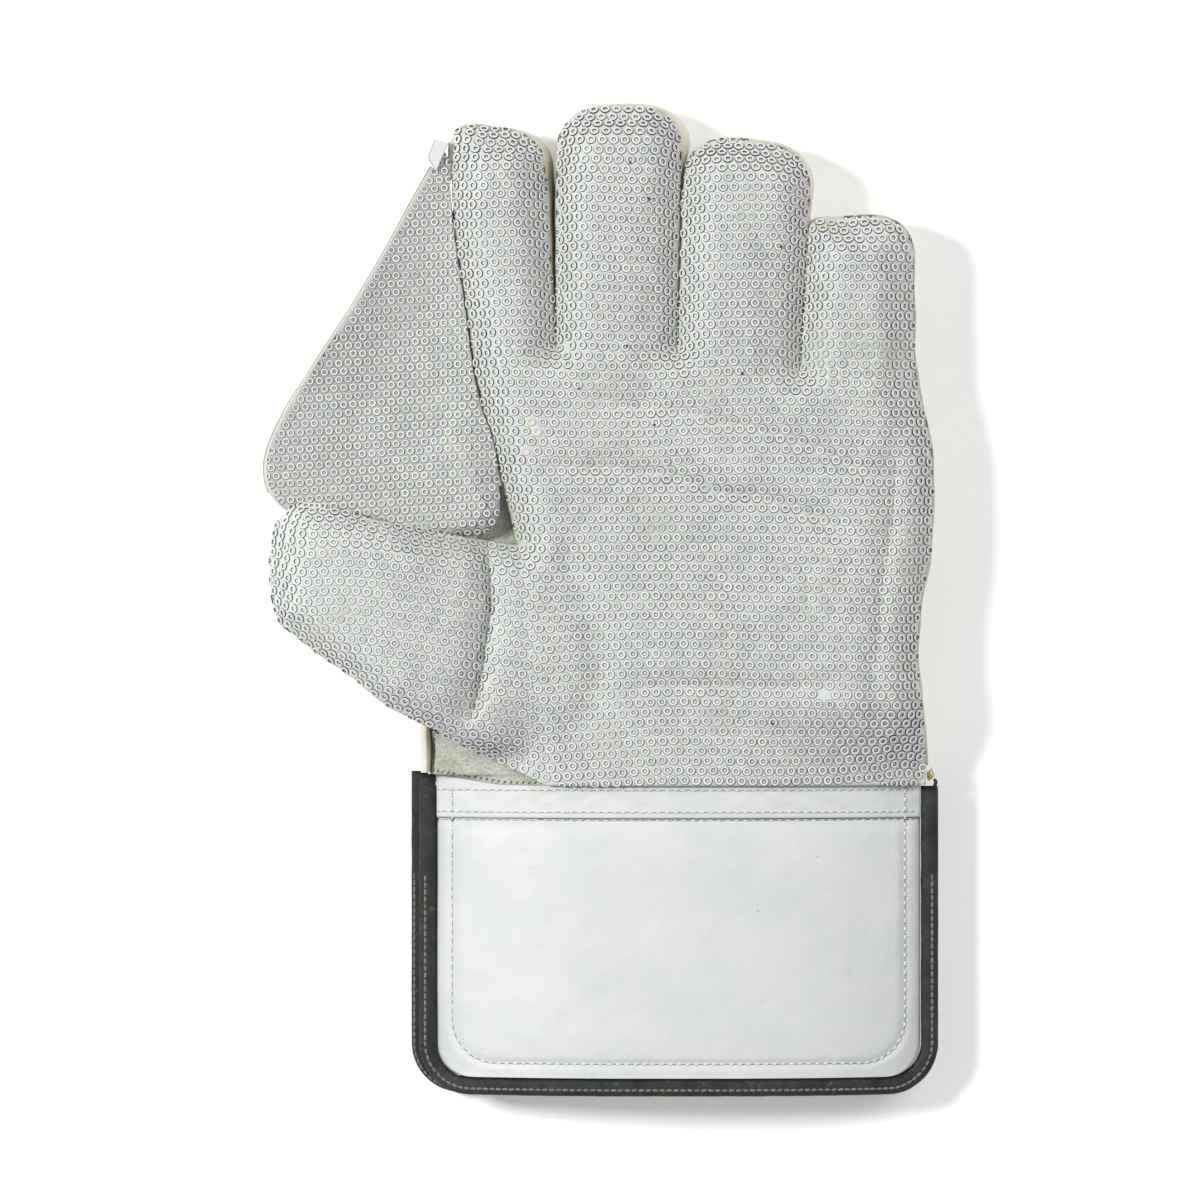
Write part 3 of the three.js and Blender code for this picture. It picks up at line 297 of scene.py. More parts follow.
# Plan of the rubber
def palm_point(up, across):
    along = np.interp(across, CROTCHES["across"], CROTCHES["along"]) * up
    first, last = CROTCHES["across"][0], CROTCHES["across"][-1]
    share = (across - first) / (last - first)
    inner = read(PALM_EDGES, "inner", along)
    outer = read(PALM_EDGES, "outer", along)
    return hand_x(lerp(inner, outer, share)), hand_y(along)


def finger_point(finger, base_x, base_y, up, share):
    side = np.where(share < 0.5, finger["left_square"], finger["right_square"])
    arch = (1 - np.abs(2 * share - 1) ** side) ** (1 / side)
    tip = lerp(finger["shoulder"], finger["tip"], arch) + finger["lean"] * (share - 0.5) * arch
    lean = finger["bow"] * 4 * up * (1 - up) * (1 - share)
    tip_x = hand_x(lerp(finger["left"], finger["right"], share) + lean)
    return lerp(base_x, tip_x, up), lerp(base_y, hand_y(tip), up)


def tip_share(share, up):
    """Shares across a finger, drawn towards its sides near the tip, where the outline turns."""
    return lerp(share, 0.5 - 0.5 * np.cos(np.pi * share), smooth(up))


def finger_base(index, share):
    across = lerp(CROTCHES["across"][index], CROTCHES["across"][index + 1], share)
    return palm_point(1.0, across)


CROTCH_UP = THUMB_ROWS / PALM_ROWS
THUMB_CROTCH = palm_point(CROTCH_UP, CROTCHES["across"][0])


def thumb_edge(out, side):
    reach = read(THUMB_EDGES, side + "_reach", out, "out")
    up = read(THUMB_EDGES, side, out, "out")
    return THUMB_CROTCH[0] - reach * THUMB_LENGTH, THUMB_CROTCH[1] + up * THUMB_WIDTH


def thumb_point(out, up):
    low, top = thumb_edge(out, "low"), thumb_edge(out, "top")
    root_low, root_top = thumb_edge(0.0, "low"), thumb_edge(0.0, "top")
    palm = palm_point(up * CROTCH_UP, CROTCHES["across"][0])
    hold = (1 - out) ** 2
    bulge = THUMB_TIP_BULGE * THUMB_LENGTH * 4 * up * (1 - up) * out**6
    x = lerp(low[0], top[0], up) + (palm[0] - lerp(root_low[0], root_top[0], up)) * hold - bulge
    y = lerp(low[1], top[1], up) + (palm[1] - lerp(root_low[1], root_top[1], up)) * hold
    return x, y


def grid(rows, columns):
    up, share = np.meshgrid(np.linspace(0, 1, rows + 1), np.linspace(0, 1, columns + 1), indexing="ij")
    return up, share


def grid_quads(rows, columns, first=0):
    r, c = np.meshgrid(np.arange(rows), np.arange(columns), indexing="ij")
    a = first + r * (columns + 1) + c
    return np.stack([a, a + 1, a + columns + 2, a + columns + 1], -1).reshape(-1, 4)


def weld(points, quads):
    """Joins points that lie in the same place."""
    places = np.round(points + ROUNDING_SHIFT, 3)
    _, first, same = np.unique(places, axis=0, return_index=True, return_inverse=True)
    return points[first], same.reshape(-1)[quads]


def face_sheet(fine):
    """Plan points and quads of the rubber face: palm, fingers and thumb."""
    patches = []
    for index, finger in enumerate(FINGERS):
        columns = finger["columns"] * fine
        up, share = grid(PALM_ROWS * fine, columns)
        across = lerp(CROTCHES["across"][index], CROTCHES["across"][index + 1], share)
        patches.append((palm_point(up, across), PALM_ROWS * fine, columns))
        up, share = grid(finger["rows"] * fine, columns)
        base = finger_base(index, tip_share(share, up))
        patches.append((finger_point(finger, *base, up, tip_share(share, up)),
                        finger["rows"] * fine, columns))
    up, share = grid(THUMB_ROWS * fine, THUMB_COLUMNS * fine)
    patches.append((thumb_point(1 - share, up), THUMB_ROWS * fine, THUMB_COLUMNS * fine))
    points, quads = [], []
    for (x, y), rows, columns in patches:
        quads.append(grid_quads(rows, columns, sum(len(p) for p in points)))
        points.append(np.stack([x.ravel(), y.ravel()], -1))
    return weld(np.concatenate(points), np.concatenate(quads))


def rim_edges(quads):
    """Edges that belong to one face only, in the direction of that face."""
    edges = np.concatenate([quads[:, [i, (i + 1) % quads.shape[1]]] for i in range(quads.shape[1])])
    edges = edges[edges[:, 0] != edges[:, 1]]
    _, first, count = np.unique(np.sort(edges, 1), axis=0, return_index=True, return_counts=True)
    return edges[first[count == 1]]


rim_points, rim_quads = face_sheet(RIM_FINE)
whole_rim = rim_points[rim_edges(rim_quads)]
face_rim = whole_rim[whole_rim[:, :, 1].min(1) > SEAM_Y + 0.01]


def rim_distance(x, y):
    return segment_distance(x, y, face_rim[:, 0], face_rim[:, 1])


def inside(x, y, rim):
    """Whether plan points lie within a closed rim, by counting how often they cross it."""
    crossings = np.zeros(np.shape(x), int)
    for (ax, ay), (bx, by) in rim:
        spans = (ay > y) != (by > y)
        at = ax + (y - ay) / (by - ay if by != ay else 1) * (bx - ax)
        crossings += spans & (x < at)
    return crossings % 2 == 1


# Heights
def cuff_arch(x, left, power):
    first = left + BINDING_WIDTH
    share = np.clip((x - first) / (CUFF_RIGHT - BINDING_WIDTH - first), 0, 1)
    return 1 - np.abs(2 * share - 1) ** power


def cuff_front_height(x):
    return lerp(CUFF_SEAM_HEIGHT + CUFF_RIM + GAP, CUFF_HEIGHT, cuff_arch(x, CUFF_LEFT, 2.6))


def cuff_back_height(x):
    low = CUFF_SEAM_HEIGHT - CUFF_BACK_PAD - GAP
    return np.maximum(0, low * (1 - 1.15 * cuff_arch(x, CUFF_LEFT - CUFF_PEEK, 4)))


def face_height(x, y):
    """Height of the top of the rubber anywhere on the palm, fingers and thumb."""
    along = along_hand(y)
    root = hand_x(read(PALM_EDGES, "inner", along))
    out = np.clip((root - x) / THUMB_LENGTH, 0, 1)
    thumb = np.where(along < THUMB_TOP, THUMB_LIFT * read(THUMB_SIDE, "lift", out), 0)
    body = HAND_HEIGHT * read(PALM_SIDE, "height", along) + thumb
    edge = EDGE_DROP * (1 - np.minimum(1, rim_distance(x, y) / EDGE_ROUND)) ** 2
    away = {name: course_distance(x, y, course) for name, course in COURSES.items()}
    creases = 0
    for depth, width, name in FOLDS:
        creases = creases + depth * np.exp(-((away[name] / width) ** 2))
    for depth, width, name in CREASES:
        ends = (COURSES[name][0], COURSES[name][-1])
        fade = smooth(np.minimum(*(np.hypot(x - hand_x(a), y - hand_y(b)) for a, b in ends)) / CREASE_TAPER)
        creases = creases + depth * fade * np.exp(-((away[name] / width) ** 2))
    creases = creases + 0.22 * ripple(x, y, 26, 3) + 0.12 * ripple(x, y, 9, 4)
    on_cuff = cuff_front_height(x) + 2 * SEAM_GAP + RUBBER
    settle = smooth((along - BAND_TUCK / HAND_LENGTH) / 0.12)
    beside = smooth(out / 0.2) * smooth((along - 0.02) / 0.05)
    return lerp(on_cuff, body - edge - creases * settle, 1 - (1 - settle) * (1 - beside))


# Heights and slopes of the rubber on a fine grid, for everything that is laid on it
STEP = 0.5
LOW_X, HIGH_X = -113, 113
LOW_Y, HIGH_Y = SEAM_Y - 4, hand_y(1.0) + 2
raster_x = np.arange(LOW_X, HIGH_X, STEP)
raster_y = np.arange(LOW_Y, HIGH_Y, STEP)
mesh_y, mesh_x = np.meshgrid(raster_y, raster_x, indexing="ij")
heights = face_height(mesh_x, mesh_y)
slope_y, slope_x = np.gradient(heights, STEP)
on_face = inside(mesh_x, mesh_y, whole_rim)
rim_raster = rim_distance(mesh_x, mesh_y) * np.where(on_face, 1, -1)
rim_slope_y, rim_slope_x = np.gradient(rim_raster, STEP)
# Lengths along the surface from a middle column and a middle row, which place the rings
MIDDLE_ACROSS, MIDDLE_ALONG = 0.45, 0.56
THUMB_MIDDLE = 0.2  # the row from which lengths are measured on the thumb
length_x = np.cumsum(np.sqrt(1 + (slope_x * on_face) ** 2), 1) * STEP
length_y = np.cumsum(np.sqrt(1 + (slope_y * on_face) ** 2), 0) * STEP
middle_column = np.searchsorted(raster_x, hand_x(MIDDLE_ACROSS))
middle_row = np.searchsorted(raster_y, hand_y(MIDDLE_ALONG))
length_x = length_x - length_x[:, [middle_column]] + raster_x[middle_column]
thumb_row = np.searchsorted(raster_y, hand_y(THUMB_MIDDLE))
root_column = np.searchsorted(raster_x, hand_x(0.02))
from_thumb_row = length_y - length_y[[thumb_row], :]
length_y = length_y - length_y[[middle_row], :] + raster_y[middle_row]
thumb_length = from_thumb_row + length_y[thumb_row, root_column]
thumb_edge_x = np.where(mesh_y < THUMB_CROTCH[1], raster_x[root_column], hand_x(-0.04))
on_thumb_raster = (mesh_x < thumb_edge_x) & (mesh_y < hand_y(THUMB_TOP))
length_y = np.where(on_thumb_raster, thumb_length, length_y)
stretch_xy, stretch_xx = np.gradient(length_x, STEP)
stretch_yy, stretch_yx = np.gradient(length_y, STEP)


def sample(values, x, y):
    """Reads a raster between its points."""
    c = np.clip((x - LOW_X) / STEP, 0, len(raster_x) - 1.001)
    r = np.clip((y - LOW_Y) / STEP, 0, len(raster_y) - 1.001)
    c0, r0 = c.astype(int), r.astype(int)
    fc, fr = c - c0, r - r0
    low = lerp(values[r0, c0], values[r0, c0 + 1], fc)
    high = lerp(values[r0 + 1, c0], values[r0 + 1, c0 + 1], fc)
    return lerp(low, high, fr)


def face_normal(x, y):
    sx, sy = sample(slope_x, x, y), sample(slope_y, x, y)
    return unit(np.stack([-sx, -sy, np.ones_like(sx)], -1))


# Materials
class Nodes:
    """Short calls for building a material's nodes, with textures in millimetres."""

    def __init__(self, name):
        self.material = bpy.data.materials.new(name)
        self.material.use_nodes = True
        self.tree = self.material.node_tree
        self.shader = self.tree.nodes["Principled BSDF"]
        coordinates = self.tree.nodes.new("ShaderNodeTexCoord")
        mapping = self.tree.nodes.new("ShaderNodeMapping")
        mapping.inputs["Scale"].default_value = (1 / MM, 1 / MM, 1 / MM)
        self.link(coordinates.outputs["Object"], mapping.inputs["Vector"])
        self.place = mapping.outputs["Vector"]

    def link(self, source, target):
        self.tree.links.new(source, target)

    def noise(self, size, detail=3, roughness=0.55):
        """Noise with features of about that many millimetres."""
        node = self.tree.nodes.new("ShaderNodeTexNoise")
        node.inputs["Scale"].default_value = 1 / size
        node.inputs["Detail"].default_value = detail
        node.inputs["Roughness"].default_value = roughness
        self.link(self.place, node.inputs["Vector"])
        return node.outputs["Fac"]

    def cells(self, size, feature="F1"):
        node = self.tree.nodes.new("ShaderNodeTexVoronoi")
        node.feature = feature
        node.inputs["Scale"].default_value = 1 / size
        self.link(self.place, node.inputs["Vector"])
        return node.outputs["Distance"]

    def weave(self, pitch):
        """Threads crossing at right angles."""
        waves = []
        for direction in ("X", "Y"):
            node = self.tree.nodes.new("ShaderNodeTexWave")
            node.bands_direction = direction
            node.inputs["Scale"].default_value = 1 / pitch / 3.2
            node.inputs["Distortion"].default_value = 0.6
            node.inputs["Detail Scale"].default_value = 0.5
            self.link(self.place, node.inputs["Vector"])
            waves.append(node.outputs["Fac"])
        return self.math("MAXIMUM", *waves)

    def island(self):
        """A random value for each separate part of the mesh."""
        node = self.tree.nodes.new("ShaderNodeNewGeometry")
        return node.outputs["Random Per Island"]

    def math(self, operation, a, b):
        node = self.tree.nodes.new("ShaderNodeMath")
        node.operation = operation
        for socket, value in zip(node.inputs, (a, b)):
            if isinstance(value, (int, float)):
                socket.default_value = value
            else:
                self.link(value, socket)
        return node.outputs[0]

    def ramp(self, value, *stops):
        """Colours or greys at places between 0 and 1."""
        node = self.tree.nodes.new("ShaderNodeValToRGB")
        elements = node.color_ramp.elements
        while len(elements) < len(stops):
            elements.new(0.5)
        for element, (at, color) in zip(elements, stops):
            element.position = at
            element.color = (color, color, color, 1) if isinstance(color, (int, float)) else (*color, 1)
        self.link(value, node.inputs["Fac"])
        return node.outputs["Color"]

    def mix(self, a, b, factor, blend="MIX"):
        node = self.tree.nodes.new("ShaderNodeMix")
        node.data_type = "RGBA"
        node.blend_type = blend
        for socket, value in ((node.inputs["Factor"], factor), (node.inputs[6], a), (node.inputs[7], b)):
            if isinstance(value, tuple):
                socket.default_value = (*value, 1)
            elif isinstance(value, (int, float)):
                socket.default_value = value
            else:
                self.link(value, socket)
        return node.outputs[2]

    def bump(self, height, depth, before=None):
        """Relief of that many millimetres."""
        node = self.tree.nodes.new("ShaderNodeBump")
        node.inputs["Distance"].default_value = depth * MM
        self.link(height, node.inputs["Height"])
        if before:
            self.link(before, node.inputs["Normal"])
        return node.outputs["Normal"]

    def finish(self, color, roughness, normal, specular=0.4, sheen=0.0):
        self.link(color, self.shader.inputs["Base Color"])
        if isinstance(roughness, (int, float)):
            self.shader.inputs["Roughness"].default_value = roughness
        else:
            self.link(roughness, self.shader.inputs["Roughness"])
        self.link(normal, self.shader.inputs["Normal"])
        self.shader.inputs["Specular IOR Level"].default_value = specular
        self.shader.inputs["Sheen Weight"].default_value = sheen
        return self.material


def srgb(red, green, blue):
    """A colour as read off a screen, 0 to 255, in the linear values that shaders take."""
    values = [v / 255 for v in (red, green, blue)]
    return tuple(v / 12.92 if v <= 0.04045 else ((v + 0.055) / 1.055) ** 2.4 for v in values)


def rubber_material(name, base, shade, worn):
    nodes = Nodes(name)
    color = nodes.ramp(nodes.noise(38, 4), (0.3, shade), (0.62, base))
    color = nodes.mix(color, worn, nodes.ramp(nodes.noise(14, 5), (0.5, 0), (0.75, 0.6)))
    grime = nodes.ramp(nodes.noise(3.2, 6, 0.7), (0.56, 1), (0.74, 0.86))
    color = nodes.mix(color, grime, 1.0, "MULTIPLY")
    color = nodes.mix(color, srgb(60, 58, 55), nodes.ramp(nodes.cells(5.5), (0.018, 1), (0.038, 0)))
    normal = nodes.bump(nodes.noise(0.7, 4, 0.65), 0.12)
    normal = nodes.bump(nodes.noise(4, 3), 0.18, normal)
    roughness = nodes.ramp(nodes.noise(6, 4), (0.3, 0.52), (0.7, 0.72))
    return nodes.finish(color, roughness, normal, 0.35)


def ring_material(name, base, pale, dull):
    nodes = Nodes(name)
    color = nodes.ramp(nodes.island(), (0.0, dull), (0.35, base), (1.0, pale))
    color = nodes.mix(color, srgb(176, 178, 172), nodes.ramp(nodes.noise(22, 5), (0.52, 0), (0.72, 0.5)))
    normal = nodes.bump(nodes.noise(0.5, 4, 0.7), 0.08)
    roughness = nodes.ramp(nodes.noise(5, 4), (0.3, 0.45), (0.7, 0.62))
    return nodes.finish(color, roughness, normal, 0.4)


def leather_material(name, base, shade, crease_depth=0.25):
    nodes = Nodes(name)
    color = nodes.ramp(nodes.noise(17, 5), (0.32, shade), (0.66, base))
    color = nodes.mix(color, nodes.ramp(nodes.cells(1.1), (0.0, 0.82), (0.5, 1)), 0.5, "MULTIPLY")
    normal = nodes.bump(nodes.cells(0.9, "SMOOTH_F1"), 0.12)
    normal = nodes.bump(nodes.noise(6, 5, 0.6), crease_depth, normal)
    roughness = nodes.ramp(nodes.noise(9, 4), (0.3, 0.5), (0.7, 0.72))
    return nodes.finish(color, roughness, normal, 0.4, 0.05)


def suede_material():
    nodes = Nodes("suede")
    color = nodes.ramp(nodes.noise(11, 5), (0.3, srgb(178, 177, 160)), (0.68, srgb(212, 212, 200)))
    nap = nodes.ramp(nodes.noise(0.9, 5, 0.8), (0.4, 0.55), (0.58, 1))
    color = nodes.mix(color, nap, 0.8, "MULTIPLY")
    normal = nodes.bump(nodes.noise(0.45, 5, 0.8), 0.2)
    normal = nodes.bump(nodes.noise(5, 4), 0.4, normal)
    return nodes.finish(color, 0.95, normal, 0.15, 0.35)


def white_leather_material():
    nodes = Nodes("white_leather")
    color = nodes.ramp(nodes.noise(30, 4), (0.3, srgb(204, 207, 206)), (0.65, srgb(213, 215, 214)))
    scuffs = nodes.ramp(nodes.noise(7, 7, 0.7), (0.6, 1), (0.75, 0.9))
    color = nodes.mix(color, scuffs, 1.0, "MULTIPLY")
    specks = nodes.ramp(nodes.cells(14), (0.012, 1), (0.022, 0))
    color = nodes.mix(color, srgb(120, 118, 110), specks)
    normal = nodes.bump(nodes.weave(0.75), 0.05)
    normal = nodes.bump(nodes.noise(9, 4), 0.35, normal)
    roughness = nodes.ramp(nodes.noise(12, 4), (0.3, 0.42), (0.7, 0.6))
    return nodes.finish(color, roughness, normal, 0.45)


def binding_material():
    nodes = Nodes("binding_tape")
    color = nodes.ramp(nodes.noise(9, 5), (0.3, srgb(24, 26, 25)), (0.7, srgb(43, 45, 42)))
    wear = nodes.ramp(nodes.noise(2.4, 6, 0.75), (0.58, 0), (0.72, 0.5))
    color = nodes.mix(color, srgb(122, 122, 114), wear)
    normal = nodes.bump(nodes.weave(0.55), 0.07)
    normal = nodes.bump(nodes.noise(3.5, 4), 0.2, normal)
    roughness = nodes.ramp(nodes.noise(5, 4), (0.3, 0.5), (0.7, 0.75))
    return nodes.finish(color, roughness, normal, 0.4)


def thread_material(name, color, shade):
    nodes = Nodes(name)
    tint = nodes.ramp(nodes.noise(1.6, 4), (0.3, shade), (0.7, color))
    twist = nodes.bump(nodes.noise(0.25, 3, 0.8), 0.1)
    return nodes.finish(tint, 0.8, twist, 0.25, 0.2)


FLOOR_GLOW = 0.22  # a lit table, so that shadows stay pale


def floor_material():
    nodes = Nodes("floor")
    color = nodes.ramp(nodes.noise(90, 2), (0.3, 0.93), (0.7, 0.95))
    normal = nodes.bump(nodes.noise(2, 2), 0.02)
    nodes.shader.inputs["Emission Color"].default_value = (1, 1, 1, 1)
    nodes.shader.inputs["Emission Strength"].default_value = FLOOR_GLOW
    return nodes.finish(color, 0.9, normal, 0.1)


RUBBER_LOOK = rubber_material("rubber", srgb(209, 212, 209), srgb(198, 201, 198), srgb(218, 221, 217))
WEB_LOOK = rubber_material("web_rubber", srgb(184, 187, 184), srgb(167, 170, 167), srgb(197, 200, 196))
RING_LOOK = ring_material("rings", srgb(213, 215, 211), srgb(220, 222, 217), srgb(206, 209, 204))
# Dark colour of the rings' outer walls and pit walls: painted shade for the shadow in the narrow grooves
# round each ring and in its pit
RING_WALL_SHADE_LOOK = ring_material("ring_sides", srgb(64, 66, 63), srgb(84, 86, 81), srgb(48, 50, 47))
TINT_LOOK = ring_material("tinted_rings", srgb(212, 206, 193), srgb(217, 211, 198), srgb(206, 197, 181))
LEATHER_LOOK = leather_material("beige_leather", srgb(196, 193, 170), srgb(160, 156, 131))
# A paler copy of the beige leather: the wrist roll's own cream colour, and on the fourchettes and the
# padded backs a painted light, lighter as if lit
PALE_AND_PAINTED_LIT_LEATHER_LOOK = leather_material("pale_and_painted_lit_leather", srgb(222, 219, 202), srgb(196, 191, 168))
SUEDE_LOOK = suede_material()
WHITE_LOOK = white_leather_material()
BINDING_LOOK = binding_material()
TAN_LOOK = leather_material("raw_edge", srgb(186, 164, 132), srgb(142, 118, 90), 0.1)
THREAD_LOOK = thread_material("white_thread", srgb(226, 228, 222), srgb(200, 202, 195))
GREY_THREAD_LOOK = thread_material("grey_thread", srgb(134, 134, 125), srgb(98, 98, 90))
DARK_THREAD_LOOK = thread_material("dark_thread", srgb(88, 84, 74), srgb(60, 58, 52))
SPECK_LOOK = thread_material("speck", srgb(52, 50, 44), srgb(30, 29, 26))
GOLD_THREAD_LOOK = thread_material("gold_thread", srgb(196, 160, 96), srgb(150, 112, 60))


# Building meshes
def build(name, points, faces, look, replaced=(), looks=(), face_looks=None):
    """Makes a piece of the glove from points in millimetres, and ties it to the frame."""
    placed = (np.asarray(points, float) + (SHIFT_X, 0, 0)) * MM
    mesh = bpy.data.meshes.new(name)
    mesh.from_pydata(placed.tolist(), [], [list(map(int, face)) for face in faces])
    mesh.polygons.foreach_set("use_smooth", np.ones(len(mesh.polygons), bool))
    piece = bpy.data.objects.new(name, mesh)
    bpy.context.scene.collection.objects.link(piece)
    for each in (look, *looks):
        mesh.materials.append(each)
    if face_looks is not None:
        mesh.polygons.foreach_set("material_index", np.asarray(face_looks, np.int32))
    mesh.validate()
    mesh.update()
    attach(piece, "root")
    if replaced:
        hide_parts(*replaced)
    return piece


def point_normals(points, quads):
    a, b, c, d = (points[quads[:, i]] for i in range(4))
    face_normals = np.cross(c - a, d - b)
    total = np.zeros_like(points)
    for i in range(4):
        np.add.at(total, quads[:, i], face_normals)
    return unit(total)


def shell(upper, lower, quads):
    """A closed body between two surfaces that share their quads."""
    count = len(upper)
    rim = rim_edges(quads)
    sides = np.stack([rim[:, 1], rim[:, 0], rim[:, 0] + count, rim[:, 1] + count], -1)
    return np.concatenate([upper, lower]), np.concatenate([quads, quads[:, ::-1] + count, sides])


def thicken(points, quads, thickness):
    """A closed body from a surface and a copy of it moved down along its normals."""
    return shell(points, points - point_normals(points, quads) * thickness, quads)


def sheet(name, points, quads, thickness, look, replaced=()):
    """A piece of even thickness below a surface."""
    solid, faces = thicken(points, quads, thickness)
    return build(name, solid, faces, look, replaced)


def surface(rows, columns, at):
    """Points and quads of a surface given as a function of two shares."""
    up, share = grid(rows, columns)
    points = np.stack([part.ravel() for part in np.broadcast_arrays(*at(up, share))], -1)
    return points, grid_quads(rows, columns)


def tube_faces(stations, sides):
    """Faces of a tube whose points lie ring after ring, with its ends closed."""
    faces = []
    for i in range(stations - 1):
        for k in range(sides):
            a, b = i * sides + k, i * sides + (k + 1) % sides
            faces.append((a, b, b + sides, a + sides))
    faces.append(tuple(range(sides))[::-1])
    faces.append(tuple(range((stations - 1) * sides, stations * sides)))
    return faces


def tube(path, radii, sides):
    """Points and faces of a round tube along a path, with its ends closed."""
    path = np.asarray(path, float)
    along = unit(np.gradient(path, axis=0))
    across = unit(np.cross(along, (0, 0, 1.0)))
    over = np.cross(across, along)
    turn = np.arange(sides) * math.tau / sides
    radii = np.broadcast_to(radii, (len(path),))[:, None, None]
    ring = across[:, None] * np.cos(turn)[None, :, None] + over[:, None] * np.sin(turn)[None, :, None]
    return (path[:, None] + ring * radii).reshape(-1, 3), tube_faces(len(path), sides)


def joined(parts):
    """One list of points and faces from several."""
    points, faces, count = [], [], 0
    for part_points, part_faces in parts:
        faces.extend(tuple(i + count for i in face) for face in part_faces)
        points.append(part_points)
        count += len(part_points)
    return np.concatenate(points), faces


def build_joined(name, parts, look):
    points, faces = joined(parts)
    build(name, points, faces, look)


def resample(path, spacing):
    """Points at even distances along a path."""
    path = np.asarray(path, float)
    lengths = np.concatenate([[0], np.cumsum(np.linalg.norm(np.diff(path, axis=0), axis=1))])
    count = max(2, int(round(lengths[-1] / spacing)) + 1)
    places = np.linspace(0, lengths[-1], count)
    return np.stack([np.interp(places, lengths, path[:, i]) for i in range(path.shape[1])], -1)


DROP_FROM = 100  # height in millimetres from which rays look down


class Drop:
    """Finds the top of some pieces under a plan point."""

    def __init__(self, *pieces):
        depsgraph = bpy.context.evaluated_depsgraph_get()
        self.trees = [BVHTree.FromObject(piece, depsgraph) for piece in pieces]

    def height(self, x, y):
        above = Vector(((x + SHIFT_X) * MM, y * MM, DROP_FROM * MM))
        hits = [tree.ray_cast(above, Vector((0, 0, -1)))[0] for tree in self.trees]
        return max([hit.z / MM for hit in hits if hit is not None], default=0.0)

    def lay(self, path):
        return np.array([(x, y, self.height(x, y)) for x, y in np.asarray(path)[:, :2]])


HOLE_REACH, HOLE_RADIUS, HOLE_SIDES = 0.3, 0.16, 5
STITCH_RADII, STITCH_SIDES = (0.7, 1, 1.08, 1, 0.7), 6


def stitches(name, paths, look, pitch, length, radius, turn=0.0, holes=False):
    """Rows of small thread stitches that dip into the surface, between needle holes drawn as dark stubs of
    painted shade.
    """
    parts, dark = [], []
    for path in paths:
        spots = resample(path, pitch)
        along = unit(np.gradient(spots, axis=0))
        for spot, direction in zip(spots, along):
            angle = turn + random.normal(0, 0.06)
            c, s = math.cos(angle), math.sin(angle)
            way = np.array((direction[0] * c - direction[1] * s, direction[0] * s + direction[1] * c,
                            direction[2] * c))
            reach = np.linspace(-0.5, 0.5, len(STITCH_RADII)) * length * random.uniform(0.9, 1.1)
            dip = radius * (0.35 - 5.5 * (reach / length) ** 2)
            curve = spot + way * reach[:, None] + np.array((0, 0, 1.0)) * dip[:, None]
            parts.append(tube(curve, radius * np.array(STITCH_RADII), STITCH_SIDES))
            # Dark stubs at both ends of each stitch: painted shade where the needle went through
            ends = spot + way * np.array((-1, 0, 1.0))[:, None] * (length / 2 + HOLE_REACH)
            dark.append(tube(ends, HOLE_RADIUS, HOLE_SIDES))
    build_joined(name, parts, look)
    if holes:
        build_joined(name + "_holes", dark, DARK_THREAD_LOOK)


# Rubber face
def rubber_face():
    plan, quads = face_sheet(FINE)
    points = np.column_stack([plan, face_height(plan[:, 0], plan[:, 1])])
    sheet("face_rubber", points, quads, RUBBER, RUBBER_LOOK, ["palm_face"])


def ring_faces(count):
    """Faces of that many rings, whose points follow each other."""
    strips = len(RING_PROFILE)
    size = strips * RING_SIDES + 1
    one = []
    for level in range(strips - 1):
        for k in range(RING_SIDES):
            a = level * RING_SIDES + k
            b = level * RING_SIDES + (k + 1) % RING_SIDES
            one.append((a, b, b + RING_SIDES, a + RING_SIDES))
    last = (strips - 1) * RING_SIDES
    fans = [(last + k, last + (k + 1) % RING_SIDES, size - 1) for k in range(RING_SIDES)]
    quads = np.array(one)
    caps = np.array(fans)
    faces = []
    for i in range(count):
        faces.extend((quads + i * size).tolist())
        faces.extend((caps + i * size).tolist())
    # The outer and pit walls are marked for the second material, whose dark colour is painted shade
    sides = [int(level in RING_SHADE_STRIPS) for level in range(strips - 1) for _ in range(RING_SIDES)]
    return faces, np.array(sides + [0] * RING_SIDES)


def ring_points(x, y, normal, ground, flat=1.0, scale=1.0):
    """Points of rings at plan places, laid on a surface and cut off at its rim."""
    count = len(x)
    turn = np.arange(RING_SIDES) * math.tau / RING_SIDES
    first = unit(np.stack([normal[:, 2], np.zeros(count), -normal[:, 0]], -1))
    second = np.cross(normal, first)
    size = random.uniform(0.96, 1.04, count) * scale
    tall = random.uniform(0.85, 1.1, count) * flat
    shift = random.normal(0, 0.05, (count, 2))
    x, y = x + shift[:, 0], y + shift[:, 1]
    start_x, start_y = x[:, None], y[:, None]
    levels = []
    for radius, height in RING_PROFILE:
        a = radius * size[:, None] * np.cos(turn)[None]
        b = radius * size[:, None] * np.sin(turn)[None]
        px = x[:, None] + first[:, None, 0] * a + second[:, None, 0] * b
        py = y[:, None] + first[:, None, 1] * a + second[:, None, 1] * b
        rise = height * (tall[:, None] if height > 0 else np.ones((count, 1)))
        levels.append(np.stack(ground(px, py, start_x, start_y), -1) + normal[:, None] * rise[..., None])
    centre = np.stack(ground(x, y, x, y), -1) + normal * RING_CENTRE
    return np.concatenate([np.stack(levels, 1).reshape(count, -1, 3), centre[:, None]], 1).reshape(-1, 3)


RIM_STEPS = 8


